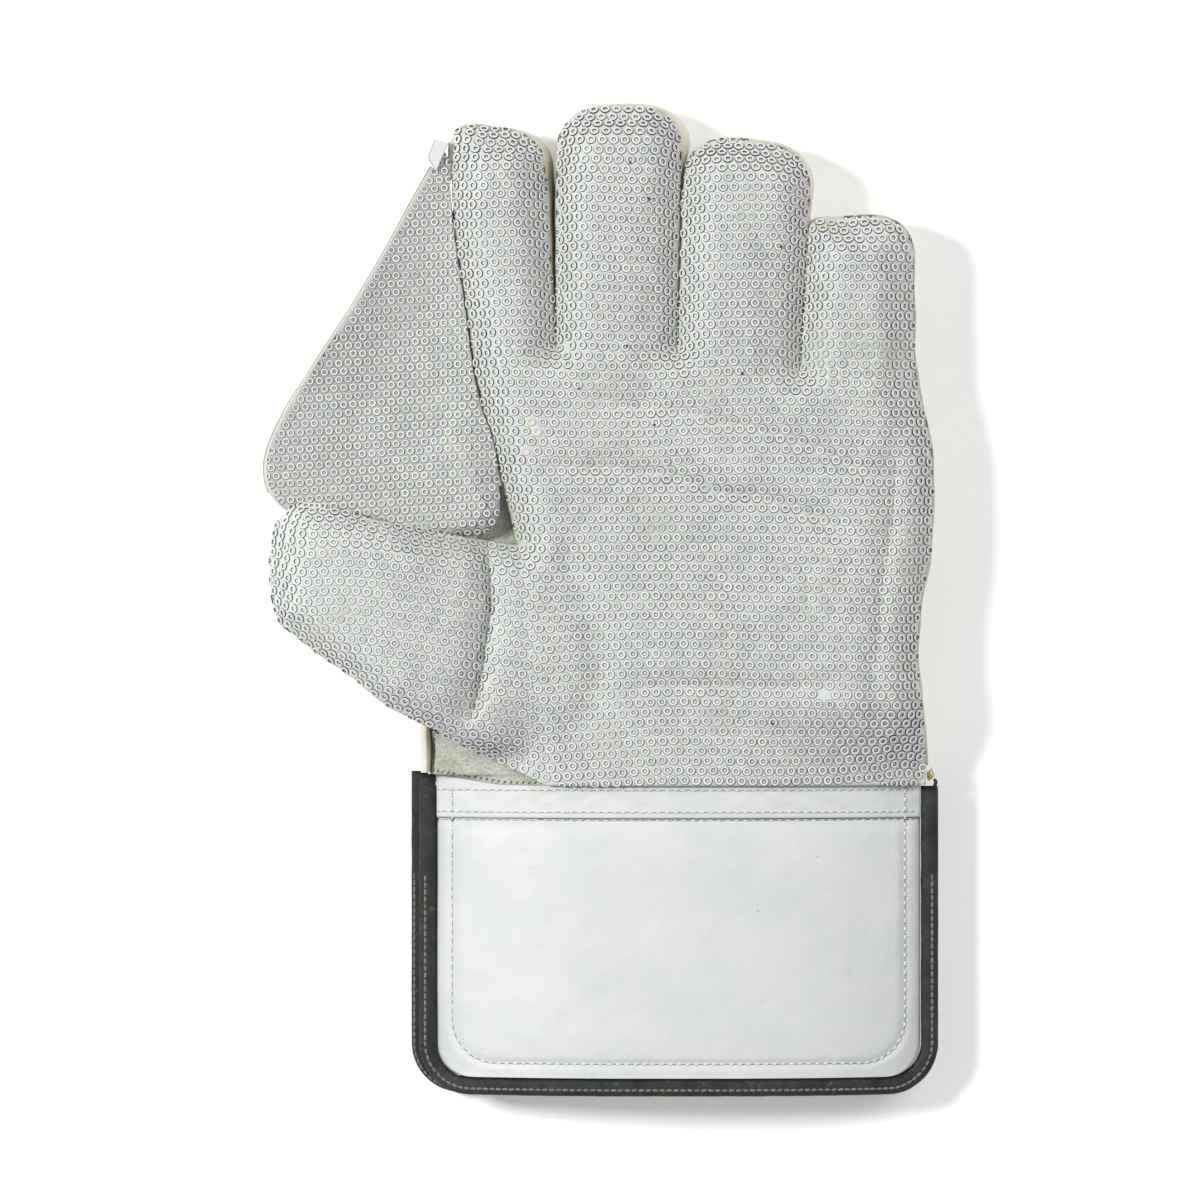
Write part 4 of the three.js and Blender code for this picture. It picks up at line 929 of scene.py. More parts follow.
def face_ground(x, y, centre_x, centre_y):
    """Places on the rubber under a ring's points; beyond the rim they are drawn back to it."""
    inset = np.maximum(0, 0.2 - sample(rim_raster, centre_x, centre_y))
    from_x = centre_x + inset * sample(rim_slope_x, centre_x, centre_y)
    from_y = centre_y + inset * sample(rim_slope_y, centre_x, centre_y)
    reach = np.ones(np.shape(x))
    free = np.ones(np.shape(x), bool)
    low = RIM_OVERHANG + sample(rim_raster, from_x, from_y) + 0 * x
    for step in range(RIM_STEPS):
        share = (step + 1) / RIM_STEPS
        high = RIM_OVERHANG + sample(rim_raster, lerp(from_x, x, share), lerp(from_y, y, share))
        cut = free & (high < 0)
        part = np.clip(low / np.maximum(low - high, 1e-6), 0, 1)
        reach = np.where(cut, (step + part) / RIM_STEPS, reach)
        free &= ~cut
        low = high
    x, y = lerp(from_x, x, reach), np.maximum(lerp(from_y, y, reach), SEAM_Y - RIM_OVERHANG)
    fall = 4 * EDGE_DROP / EDGE_ROUND * np.maximum(0, -sample(rim_raster, x, y))
    return x, y, sample(heights, x, y) - fall


def lattice():
    """Plan places of the rings on the face: even rows measured along the surface."""
    column, row = np.meshgrid(np.arange(*LATTICE_COLUMNS), np.arange(*LATTICE_ROWS))
    want_x = ((column + 0.5 * (row % 2)) * RING_PITCH).ravel()
    want_y = (row * RING_ROW + 0.4).ravel()
    root = hand_x(read(PALM_EDGES, "inner", along_hand(want_y)))
    on_thumb = smooth((THUMB_TOP - along_hand(want_y)) / 0.05)
    want_y = want_y + THUMB_ROW_TILT * np.maximum(0, root - want_x) * on_thumb
    sway_x = LATTICE_SWAY[0] * ripple(want_x, want_y, 75, 31)
    sway_y = LATTICE_SWAY[1] * ripple(want_x, want_y, 85, 32)
    want_x, want_y = want_x + sway_x, want_y + sway_y
    x, y = want_x.copy(), want_y.copy()
    for _ in range(LATTICE_STEPS):
        off_x = want_x - sample(length_x, x, y)
        off_y = want_y - sample(length_y, x, y)
        xx, xy = sample(stretch_xx, x, y), np.clip(sample(stretch_xy, x, y), -1, 1)
        yy, yx = sample(stretch_yy, x, y), np.clip(sample(stretch_yx, x, y), -1, 1)
        scale = 0.5 / np.maximum(xx * yy - xy * yx, 0.5)
        x = np.clip(x + scale * (yy * off_x - xy * off_y), LOW_X, HIGH_X)
        y = np.clip(y + scale * (xx * off_y - yx * off_x), LOW_Y - 2, HIGH_Y)
    missed = np.hypot(want_x - sample(length_x, x, y), want_y - sample(length_y, x, y))
    near = sample(rim_raster, x, y)
    steep = np.hypot(sample(rim_slope_x, x, y), sample(rim_slope_y, x, y))
    keep = (missed < 0.8) & (near > -RIM_REACH * (steep > 0.9)) & (y > SEAM_Y - RIM_REACH)
    return x[keep], y[keep]


# Places on the face where rings are missing or tinted, as shares across and along
BARE_SPOT = (0.735, 0.137)
BARE_RADIUS = 2.2  # millimetres
TINTED = ((0.041, 0.536), (0.053, 0.522), (0.031, 0.49))
REGIONS = ("palm_low", "palm_middle", "palm_high", "index", "middle", "ring", "little", "thumb")
PALM_BAND = 0.22  # share of the hand's length that each of the palm's groups of rings takes up


def region_of(x, y):
    along = along_hand(y)
    root = hand_x(read(PALM_EDGES, "inner", along)) + 2
    palm = np.minimum(REGIONS.index("palm_high"), (along / PALM_BAND).astype(int))
    across = (x - HAND_RIGHT) / PALM_WIDTH + 1
    finger = REGIONS.index("index") + np.searchsorted(CROTCHES["across"][1:4], across)
    on_finger = along > np.interp(across, CROTCHES["across"], CROTCHES["along"])
    region = np.where(on_finger, finger, palm)
    return np.where((x < root) & (along < 0.42), REGIONS.index("thumb"), region)


def face_rings():
    x, y = lattice()
    bare = np.hypot(x - hand_x(BARE_SPOT[0]), y - hand_y(BARE_SPOT[1])) < BARE_RADIUS
    x, y = x[~bare], y[~bare]
    tinted = np.zeros(len(x), int)
    for across, along in TINTED:
        tinted[np.argmin(np.hypot(x - hand_x(across), y - hand_y(along)))] = 1
    region = region_of(x, y)
    for index, name in enumerate(REGIONS):
        here = region == index
        points = ring_points(x[here], y[here], face_normal(x[here], y[here]), face_ground,
                             THUMB_RING_HEIGHT if name == "thumb" else 1.0)
        faces, sides = ring_faces(int(here.sum()))
        # Ring walls take the dark painted-shade material, and the tinted rings take the third
        looks = np.maximum(np.tile(sides, int(here.sum())), 2 * np.repeat(tinted[here], len(sides)))
        build("rings_" + name, points, faces, RING_LOOK, (), (RING_WALL_SHADE_LOOK, TINT_LOOK), looks)


# Outline of the rubber, clockwise: each station has a plan place and two values of its own
THUMB_SIDE_STATIONS, THUMB_TIP_STATIONS, PALM_STATIONS, FINGER_STATIONS = 90, 60, 60, 70
TIP_MIDDLE = FINGER_STATIONS - 1 + FINGER_STATIONS // 2


def thumb_outline():
    """The thumb's rim: plan points with their place out along the thumb and up across it."""
    along = np.linspace(0, 1, THUMB_SIDE_STATIONS)
    across = np.linspace(0, 1, THUMB_TIP_STATIONS + 2)[1:-1]
    out = np.concatenate([along, across * 0 + 1, along[::-1]])
    up = np.concatenate([along * 0, across, along * 0 + 1])
    x, y = thumb_point(out, up)
    return np.stack([x, y, out, up], -1)


def finger_outline(index):
    """Both sides and the tip of a finger, from its left root to its right root."""
    finger = FINGERS[index]
    even = np.linspace(0, 1, FINGER_STATIONS)
    rise = even[:-1]
    shares = np.concatenate([rise * 0, tip_share(even, 1.0), rise * 0 + 1])
    ups = np.concatenate([rise, even * 0 + 1, even[::-1][1:]])
    base = finger_base(index, shares)
    x, y = finger_point(finger, *base, ups, shares)
    shift = backing_shift(y, finger)
    drop = TIP_GAP * smooth((ups - 0.85) / 0.1)
    return np.stack([x, y, shift, drop], -1)


def backing_shift(y, finger):
    return BACK_SHIFT * finger["shift"] * smooth((along_hand(y) - finger["shift_from"]) / SHIFT_RANGE)


def palm_outline(side, start, end):
    """An edge of the palm between two shares of its height."""
    across = CROTCHES["across"][0 if side == "left" else -1]
    x, y = palm_point(np.linspace(start, end, PALM_STATIONS), across)
    return np.stack([x, y, 0 * x, 0 * x], -1)


def offset(path, distance):
    """Moves a clockwise plan path towards its inside, rounding off its turns."""
    path = np.asarray(path, float)
    along = unit(np.gradient(path[:, :2], axis=0))
    inwards = np.stack([along[:, 1], -along[:, 0]], -1)
    return path[:, :2] + inwards * np.reshape(distance, (-1, 1))


def under_rubber(plan, drop=0.0):
    x, y = plan[:, 0], plan[:, 1]
    steep = np.sqrt(1 + sample(slope_x, x, y) ** 2 + sample(slope_y, x, y) ** 2)
    return sample(heights, x, y) - RUBBER * steep - SEAM_GAP - drop


WALL_ROWS = 9
WALL_PITCH = 1.2  # millimetres between a wall's stations


def wall(name, stations, foot, look, inset=WALL_INSET, seed=0):
    """A leather wall from under the rubber's rim down to a foot line, with soft wrinkles."""
    outer = offset(stations, inset - LEATHER / 2)
    top = np.column_stack([outer, under_rubber(offset(stations, inset), stations[:, 3])])
    inwards = unit(offset(stations, inset + LEATHER) - outer)
    t = np.linspace(0, 1, WALL_ROWS)[:, None, None]
    rows = lerp(foot(top)[None], top[None], t)
    run = np.arange(len(stations)) * 0.9
    wave = ripple(run[None, :], np.linspace(0, 20, WALL_ROWS)[:, None], 11, seed)
    bulge = (0.8 + 0.45 * wave) * np.sin(np.pi * t[:, :, 0])
    rows[:, :, :2] -= inwards[None] * bulge[..., None]
    quads = grid_quads(WALL_ROWS - 1, len(stations) - 1)
    sheet(name, rows.reshape(-1, 3), quads, LEATHER, look, [name])


def foot_on_back(shifts):
    def foot(top):
        return np.column_stack([top[:, 0] + shifts, top[:, 1], np.full(len(top), BACK_PAD + SEAM_GAP)])
    return foot


def hand_walls():
    """Walls round the fingers and down the outer edge of the palm."""
    outlines = [finger_outline(index) for index in range(4)]
    runs = {"index_side_wall": [palm_outline("left", CROTCH_UP, 1.0), outlines[0][:TIP_MIDDLE]]}
    names = [finger["name"] for finger in FINGERS]
    for index in range(3):
        name = f"fourchette_{names[index]}_{names[index + 1]}"
        runs[name] = [outlines[index][TIP_MIDDLE:], outlines[index + 1][:TIP_MIDDLE]]
    runs["outer_side_wall"] = [outlines[3][TIP_MIDDLE:], palm_outline("right", 1.0, 0.045)]
    for seed, (name, parts) in enumerate(runs.items()):
        stations = resample(np.concatenate(parts), WALL_PITCH)
        # The fourchettes take the paler leather, painted lighter as if lit; the outer walls keep the beige
        look = LEATHER_LOOK if name.endswith("wall") else PALE_AND_PAINTED_LIT_LEATHER_LOOK
        wall(name, stations, foot_on_back(stations[:, 2]), look, seed=seed)


def thumb_back_plan(out, up):
    root = lerp(THUMB_BACK["root_low"], THUMB_BACK["root_top"], up)
    return thumb_point(lerp(root, THUMB_BACK["tip"], out), lerp(THUMB_BACK["low"], THUMB_BACK["top"], up))


def thumb_back_height(out):
    return BACK_PAD + SEAM_GAP + THUMB_LIFT * 1.1 * smooth(out * 0.9 + 0.02)


def thumb_wall():
    outline = thumb_outline()
    start = np.argmax(outline[:, 2] > THUMB_BACK["root_low"])
    stations = resample(outline[start:], WALL_PITCH)
    out, up = stations[:, 2], stations[:, 3]
    inset = lerp(WALL_INSET, THUMB_OVERHANG, smooth((up - 0.75) / 0.25) * smooth((out - 0.02) / 0.15))
    drop = TIP_GAP * smooth((out - 0.9) / 0.08)
    root = lerp(THUMB_BACK["root_low"], THUMB_BACK["root_top"], up)
    back_out = np.clip((out - root) / (THUMB_BACK["tip"] - root), 0.03, 0.97)

    def foot(top):
        x, y = thumb_back_plan(back_out, np.clip(up, 0.02, 0.98))
        return np.column_stack([x, y, thumb_back_height(back_out) + THUMB_PAD + SEAM_GAP])

    wall("thumb_wall", np.column_stack([stations[:, :2], out, drop]), foot, LEATHER_LOOK, inset, 9)


# Padded pieces
CLOTH_FRAMES, CLOTH_PRESSURE, CLOTH_QUALITY = 20, 4, 5
RIM_HOLD = 7  # millimetres in from its rim over which a pad is held


def inflate(piece, rise, floor_z=None):
    """Swells a pad with a cloth simulation, by at most that many mm and not at its rim."""
    rest = points_of(piece)
    cloth = piece.modifiers.new("cloth", "CLOTH")
    cloth.settings.use_pressure = True
    cloth.settings.uniform_pressure_force = CLOTH_PRESSURE
    cloth.settings.effector_weights.gravity = 0
    cloth.settings.quality = CLOTH_QUALITY
    scene = bpy.context.scene
    for number in range(1, CLOTH_FRAMES + 1):
        scene.frame_set(number)
    depsgraph = bpy.context.evaluated_depsgraph_get()
    swollen = np.empty(len(rest) * 3)
    piece.evaluated_get(depsgraph).data.vertices.foreach_get("co", swollen)
    piece.modifiers.remove(cloth)
    scene.frame_set(1)
    half = len(rest) // 2
    rim = rest[rim_edges(top_quads(piece, half))][:, :, :2]
    hold = smooth(segment_distance(rest[:, 0], rest[:, 1], rim[:, 0], rim[:, 1]) / (RIM_HOLD * MM))
    moved = (swollen.reshape(-1, 3) - rest) * hold[:, None]
    length = np.linalg.norm(moved, axis=1, keepdims=True)
    moved *= rise * MM / max(np.percentile(length, 98), rise * MM * 0.01)
    length = np.linalg.norm(moved, axis=1, keepdims=True)
    moved *= np.minimum(1, rise * MM / np.maximum(length, 1e-9))
    piece.data.vertices.foreach_set("co", (rest + moved).ravel())
    subdivide = piece.modifiers.new("subdivide", "SUBSURF")
    subdivide.levels = 1
    apply_modifiers(piece)
    if floor_z is not None:
        placed = points_of(piece)
        placed[:, 2] = np.maximum(placed[:, 2], floor_z * MM)
        piece.data.vertices.foreach_set("co", placed.ravel())


def top_quads(piece, half):
    """Faces of a pad's upper side, whose points come first."""
    corners = np.empty(len(piece.data.loops), np.int32)
    piece.data.loops.foreach_get("vertex_index", corners)
    quads = corners.reshape(-1, 4)
    return quads[quads.max(1) < half]


def apply_modifiers(piece):
    depsgraph = bpy.context.evaluated_depsgraph_get()
    mesh = bpy.data.meshes.new_from_object(piece.evaluated_get(depsgraph))
    old = piece.data
    piece.modifiers.clear()
    piece.data = mesh
    mesh.polygons.foreach_set("use_smooth", np.ones(len(mesh.polygons), bool))
    bpy.data.meshes.remove(old)


def points_of(piece):
    flat = np.empty(len(piece.data.vertices) * 3)
    piece.data.vertices.foreach_get("co", flat)
    return flat.reshape(-1, 3)


def move_points(piece, change):
    """Moves a piece's points by a function of their places in mm and their normals."""
    points = points_of(piece)
    normals = np.empty(len(points) * 3)
    piece.data.vertices.foreach_get("normal", normals)
    millimetres = points / MM - (SHIFT_X, 0, 0)
    placed = (change(millimetres, normals.reshape(-1, 3)) + (SHIFT_X, 0, 0)) * MM
    piece.data.vertices.foreach_set("co", placed.ravel())
    piece.data.update()


def pad(name, rows, columns, top_at, low_at, look, slot, fill=0.6):
    """A closed pad between two surfaces given by functions of two shares."""
    top, quads = surface(rows, columns, top_at)
    low = surface(rows, columns, low_at)[0]
    points, faces = shell(top, low, quads)
    piece = build(name, points, faces, look, [name])
    return piece


def rounding(up, share, width_up, width_share):
    """1 in the middle of a panel, falling to 0 in a quarter circle at its edges."""
    a = np.clip(np.minimum(up, 1 - up) / width_up, 0, 1)
    b = np.clip(np.minimum(share, 1 - share) / width_share, 0, 1)
    return np.sqrt(1 - (1 - a) ** 2) * np.sqrt(1 - (1 - b) ** 2)


def back_panel(name, rows, columns, plan, width_up, width_share):
    """A padded back that is flat where it rests."""
    rim_level = BACK_PAD * 0.55

    def top(up, share):
        x, y = plan(up, share)
        return x, y, lerp(rim_level, BACK_PAD - 0.2, rounding(up, share, width_up * 0.5, width_share * 0.5))

    def low(up, share):
        x, y = plan(up, share)
        return x, y, lerp(rim_level - 0.2, 0.0, rounding(up, share, width_up, width_share))

    # The padded backs take the paler leather, painted lighter as if lit
    piece = pad(name, rows, columns, top, low, PALE_AND_PAINTED_LIT_LEATHER_LOOK, "beige_leather")
    inflate(piece, 0.5, 0.0)
    return piece


def hand_back():
    def plan(up, share):
        across = lerp(CROTCHES["across"][0], CROTCHES["across"][-1], share)
        top = along_hand(palm_point(1.0, across)[1])
        along = lerp(GAP / HAND_LENGTH, top - GAP / HAND_LENGTH, up)
        inner = read(BACK_INNER, "inner", along)
        outer = read(PALM_EDGES, "outer", along)
        return hand_x(lerp(inner, outer, share)), hand_y(along)
    back_panel("back_hand", *GRIDS["back_hand"], plan, 0.05, 0.05)


def finger_backs():
    made = []
    for index, finger in enumerate(FINGERS):
        def plan(up, even_share):
            share = tip_share(even_share, up)
            base_x, base_y = finger_base(index, share)
            trim = (0.5 - share if index > 0 else 0.25 - share * 0.5) * 2 * GAP
            x, y = finger_point(finger, base_x, base_y + GAP, up, share)
            return x + trim + backing_shift(y, finger), y
        made.append(back_panel("finger_back_" + finger["name"], *GRIDS["finger_back"], plan, 0.09, 0.16))
    return made


def thumb_back():
    def height(up, share, level):
        x, y = thumb_back_plan(1 - share, up)
        rim = 1 - rounding(up, share, 0.22, 0.16)
        base = thumb_back_height(1 - share)
        return x, y, base + lerp(level, THUMB_PAD * 0.5, rim)
    piece = pad("thumb_back", *GRIDS["thumb_back"],
                lambda up, share: height(up, share, THUMB_PAD - 0.2),
                lambda up, share: height(up, share, 0.0), LEATHER_LOOK, "beige_leather")
    inflate(piece, 0.5)


# Catching web
def index_edge(along):
    base = CROTCHES["along"][0]
    finger = FINGERS[0]
    up = np.clip((along - base) / (finger["shoulder"] - base), 0, 1)
    root = palm_point(1.0, CROTCHES["across"][0])
    on_finger = finger_point(finger, *root, up, 0.0 * up)[0]
    return np.where(along <= base, hand_x(read(PALM_EDGES, "inner", along)), on_finger)


def web_plan(up, share):
    right = read(WEB_ROWS, "right", up, "up")
    right_x = index_edge(right) + read(WEB_ROWS, "cover", up, "up") * PALM_WIDTH
    left_x = index_edge(right) - read(WEB_ROWS, "reach", up, "up") * THUMB_LENGTH
    left_y = hand_y(read(WEB_ROWS, "left", up, "up"))
    hold = (1 - up) ** 8
    tuck_x, tuck_y = thumb_edge(lerp(0.91, 0.2, share), "top")
    x = lerp(left_x, right_x, share)
    y = lerp(left_y, hand_y(right), share)
    return lerp(x, tuck_x, hold), lerp(y, tuck_y - WEB_TUCK, hold)


def web_surface(up, share):
    x, y = web_plan(up, share)
    right = read(WEB_ROWS, "right", up, "up")
    rim = sample(heights, index_edge(right) + 0.3, hand_y(right))
    rise = HAND_HEIGHT * read(WEB_ROWS, "rise", up, "up")
    left = HAND_HEIGHT * read(WEB_ROWS, "left_height", up, "up")
    sag = WEB_SAG * 4 * share * (1 - share) * smooth(up / 0.3) * smooth((1 - up) / 0.5)
    free = lerp(left, rim + rise, np.maximum(0, share) ** 1.3) - sag
    free = free + 0.3 * ripple(x, y, 21, 8) * smooth(up / 0.2)
    under_thumb = sample(heights, x, y) - RUBBER - SEAM_GAP - WEB_DROP
    return x, y, lerp(free, np.minimum(free, under_thumb), (1 - up) ** 3)


def catching_web():
    points, quads = surface(*GRIDS["web_face"], web_surface)
    sheet("web_rubber", points, quads, RUBBER, WEB_LOOK, ["web_face"])
    web_rings(points, quads)


def hold_inside(x, y, rim):
    """Brings plan points outside a closed rim back to the nearest place on it."""
    nearest = np.full(np.shape(x), 1e9)
    to_x, to_y = x.copy(), y.copy()
    for (ax, ay), (bx, by) in rim:
        length = (bx - ax) ** 2 + (by - ay) ** 2
        t = np.clip(((x - ax) * (bx - ax) + (y - ay) * (by - ay)) / max(length, 1e-12), 0, 1)
        at_x, at_y = ax + t * (bx - ax), ay + t * (by - ay)
        away = (x - at_x) ** 2 + (y - at_y) ** 2
        closer = away < nearest
        nearest = np.where(closer, away, nearest)
        to_x, to_y = np.where(closer, at_x, to_x), np.where(closer, at_y, to_y)
    within = inside(x, y, rim)
    return np.where(within, x, to_x), np.where(within, y, to_y)


def web_rings(points, quads):
    """Rings in rows that rise slightly to the right, kept a little in from the web's rim."""
    normals = point_normals(points, quads)
    rim = points[rim_edges(quads)][:, :, :2]
    column, row = np.meshgrid(np.arange(*WEB_COLUMNS), np.arange(*WEB_LATTICE_ROWS))
    step_x = ((column + 0.5 * (row % 2)) * RING_PITCH * WEB_RING_SCALE).ravel()
    step_y = (row * RING_ROW * WEB_RING_SCALE).ravel()
    x = points[:, 0].min() + step_x
    y = points[:, 1].min() + step_y + WEB_ROW_TILT * step_x
    near = segment_distance(x, y, rim[:, 0], rim[:, 1])
    keep = inside(x, y, rim) | (near < RIM_REACH * 0.5)
    x, y = x[keep], y[keep]
    nearest = np.array([np.argmin((points[:, 0] - a) ** 2 + (points[:, 1] - b) ** 2) for a, b in zip(x, y)])
    anchor, normal = points[nearest], normals[nearest]

    def plane(px, py, *_):
        shape = (-1,) + (1,) * (px.ndim - 1)
        part = [anchor[:, i].reshape(shape) for i in range(3)]
        way = [normal[:, i].reshape(shape) for i in range(3)]
        height = part[2] - (way[0] * (px - part[0]) + way[1] * (py - part[1])) / way[2]
        return (*hold_inside(px, py, rim), height)

    faces, sides = ring_faces(len(x))
    rings = ring_points(x, y, normal, plane, WEB_RING_HEIGHT, WEB_RING_SCALE)
    # Ring walls take the dark painted-shade material
    looks = np.tile(sides, len(x))
    build("rings_web", rings, faces, RING_LOOK, (), (RING_WALL_SHADE_LOOK,), looks)


def web_backing():
    """The leather behind the web, which shows as a pale edging with a raw tan edge."""
    def at(up, share):
        row = up * BACKING_TOP
        width = web_plan(row, 1.0 + 0 * share)[0] - web_plan(row, 0 * share)[0]
        cover = np.maximum(0, read(WEB_ROWS, "cover", row, "up") * PALM_WIDTH)
        x, y, z = web_surface(row, lerp(-EDGING / width, 1 - (cover + GAP) / width, share))
        return x, y, z - BACKING_DIP * smooth((share - 0.75) / 0.25) - RUBBER - 2.2 * GAP
    rows, columns = GRIDS["web_backing"]
    points, quads = surface(rows, columns, at)
    sheet("web_backing", points, quads, LEATHER, WHITE_LOOK, ["web_backing"])
    edge = points.reshape(rows + 1, columns + 1, 3)[EDGE_FROM_ROW:, 0].copy()
    edge[:, 2] -= LEATHER * 0.6
    edge[:, 0] -= 0.15
    points, faces = tube(resample(edge, 1.5), 0.35, 6)
    build("web_raw_edge", points, faces, TAN_LOOK)


def web_tab():
    def at(up, share):
        x, y, z = web_surface(lerp(TAB["from"], 1, up), 0 * share)
        width = lerp(TAB["narrow"], TAB["wide"], smooth(up * 2))
        lean = (1 - share) * up
        return (x + TAB["start"] - (1 - share) * width, y + TAB["rise"] * up + lean,
                z + LEATHER + SEAM_GAP)
    rows, columns = GRIDS["web_tab"]
    points, quads = surface(rows, columns, at)
    sheet("web_tab", points, quads, LEATHER, WHITE_LOOK, ["web_tab"])
    edge = points.reshape(rows + 1, columns + 1, 3)[:, 0] - (0, 0, LEATHER / 2)
    points, faces = tube(edge, 0.3, 6)
    build("web_tab_raw_edge", points, faces, TAN_LOOK)


# Suede gussets
def crotch_gusset():
    def at(up, share):
        along = lerp(along_hand(THUMB_CROTCH[1]) + 0.012, 0.44, up)
        right_x = hand_x(read(PALM_EDGES, "inner", along)) + 0.5
        side_x, side_y = thumb_edge(lerp(0.22, 0.06, share), "top")
        foot_x, foot_y = lerp(side_x, right_x, share**3), side_y - 1.2
        top_x, top_y = right_x - (1 - share) * 4, hand_y(along)
        relief = 0.35 * ripple(foot_x, foot_y + 30 * up, 7, 5)
        return lerp(foot_x, top_x, up), lerp(foot_y, top_y, up), HAND_HEIGHT * CROTCH_GUSSET_HEIGHT + relief
    points, quads = surface(*GRIDS["crotch_gusset"], at)
    sheet("crotch_gusset", points, quads, LEATHER, SUEDE_LOOK, ["crotch_gusset"])


GUSSET_START = THUMB_BACK["root_low"] - 1 / THUMB_COLUMNS


def wrist_gusset():
    """Suede from the rim of the back up and over to the rubber's lower edge."""
    outline = thumb_outline()
    lower = outline[: np.argmax(outline[:, 2] > THUMB_BACK["root_low"])]
    plan = offset(lower, WALL_INSET)
    heights_here = under_rubber(plan)

    def at(up, share):
        out = lerp(0.0, GUSSET_START, up)
        top_x = np.interp(out, lower[:, 2], plan[:, 0])
        top_y = np.interp(out, lower[:, 2], plan[:, 1])
        top_z = np.interp(out, lower[:, 2], heights_here) - 1.3
        along = lerp((BAND_TUCK + 2 * GAP) / HAND_LENGTH, 0.1, up)
        y = hand_y(along)
        low = (hand_x(read(BACK_INNER, "inner", along)) + 2, y, BACK_PAD + SEAM_GAP)
        end = (top_x, np.maximum(top_y, y), top_z)
        roll = lerp(WRIST_ROLL["low"], WRIST_ROLL["high"], up)
        shoulder = (low[0] - roll, low[1], lerp(low[2], end[2], 0.95))
        over = (lerp(low[0], end[0], 0.4), lerp(low[1], end[1], 0.5), end[2] - 1.5)
        rest = 1 - share
        x, y, z = (low[i] * rest**3 + 3 * shoulder[i] * rest**2 * share
                   + 3 * over[i] * rest * share**2 + end[i] * share**3 for i in range(3))
        relief = ripple(x, y, 14, 6) * 0.5 * np.sin(np.pi * share)
        return x, y, z + relief
    points, quads = surface(*GRIDS["wrist_gusset"], at)
    return sheet("wrist_gusset", points, quads, LEATHER, SUEDE_LOOK, ["wrist_gusset"])


# The lapped edge of the suede: its course in millimetres, its depth and its thickness
LIP_COURSE = ((-57.0, -57.6), (-46.2, -59.3), (-34.3, -61.2), (-16.4, -61.6))
LIP_DEPTH, LIP_LIFT = 5.0, 0.3
LIP_START = 3.2  # the lapped edge begins this far along its course


def gusset_lip(gusset, band):
    """The suede's lower edge, lapped over the top of the cuff band."""
    drop = Drop(gusset, band)
    course = np.array(LIP_COURSE)

    def at(up, share):
        x = lerp(course[0, 0] + LIP_START, course[-1, 0], share) + 0 * up
        low = np.interp(x, course[:, 0], course[:, 1])
        y = low + LIP_DEPTH * up
        level = [drop.lay(np.column_stack([x.ravel(), row.ravel()]))[:, 2].reshape(x.shape)
                 for row in (low, low + LIP_DEPTH, y)]
        slope = lerp(level[0], level[1], up)
        return x, y, np.maximum(slope, level[2]) + LIP_LIFT * (1 - up)
    points, quads = surface(*GRIDS["gusset_lip"], at)
    return sheet("gusset_lip", points, quads, LIP_LIFT, SUEDE_LOOK)


ROLL_X, ROLL_RADIUS = -57.9, 1.8
ROLL_FROM, ROLL_TO = -57.4, -37
ROLL_LOW, ROLL_HIGH = 9, 25
ROLL_STATIONS, ROLL_SIDES = 40, 16


def wrist_roll():
    """Upright fold of pale leather beside the gusset, down the thumb side of the wrist."""
    y = np.linspace(ROLL_FROM, ROLL_TO, ROLL_STATIONS)
    path = np.column_stack([ROLL_X + 0.25 * ripple(y, 0, 9, 41), y, 0 * y])
    points, faces = tube(path, ROLL_RADIUS, ROLL_SIDES)
    points[:, 2] = lerp(ROLL_LOW, ROLL_HIGH, 0.5 + 0.5 * points[:, 2] / ROLL_RADIUS)
    build("wrist_roll", points, faces, PALE_AND_PAINTED_LIT_LEATHER_LOOK)


# Cuff
def cuff_plan(down, share, left, right, top):
    bottom = SEAM_Y - CUFF_LENGTH + BINDING_WIDTH + GAP
    y = lerp(top, bottom, down)
    radius = CUFF_CORNER - BINDING_WIDTH
    into = np.clip(radius - (y - bottom), 0, radius)
    corner = radius - np.sqrt(radius**2 - into**2)
    inset = BINDING_WIDTH + GAP + corner
    return lerp(left + inset, right - inset, share), y


def panel_row(t):
    return 1 - (1 - t) ** 1.6


SEAM_INSET = 5.6  # the cuff's stitched frame, in from the binding
FRAME_CORNER_STATIONS = 9


def puff(down, share):
    return smooth(5 * down) * smooth(5 * (1 - down)) * smooth(5 * share) * smooth(5 * (1 - share))


def cuff_frame():
    """Course of the stitched frame inside the cuff's binding, round its two lower corners."""
    left = CUFF_LEFT + BINDING_WIDTH + SEAM_INSET
    right = CUFF_RIGHT - BINDING_WIDTH - SEAM_INSET
    bottom = SEAM_Y - CUFF_LENGTH + BINDING_WIDTH + SEAM_INSET - 0.5
    radius = CUFF_CORNER - 0.5 * SEAM_INSET
    angles = np.linspace(0, math.pi / 2, FRAME_CORNER_STATIONS)
    course = [(left, SEAM_Y - 2)]
    for edge, inwards, turn in ((left, 1, angles), (right, -1, angles[::-1])):
        for angle in turn:
            course.append((edge + inwards * radius * (1 - math.cos(angle)),
                           bottom + radius * (1 - math.sin(angle))))
    return course + [(right, SEAM_Y - 2)]


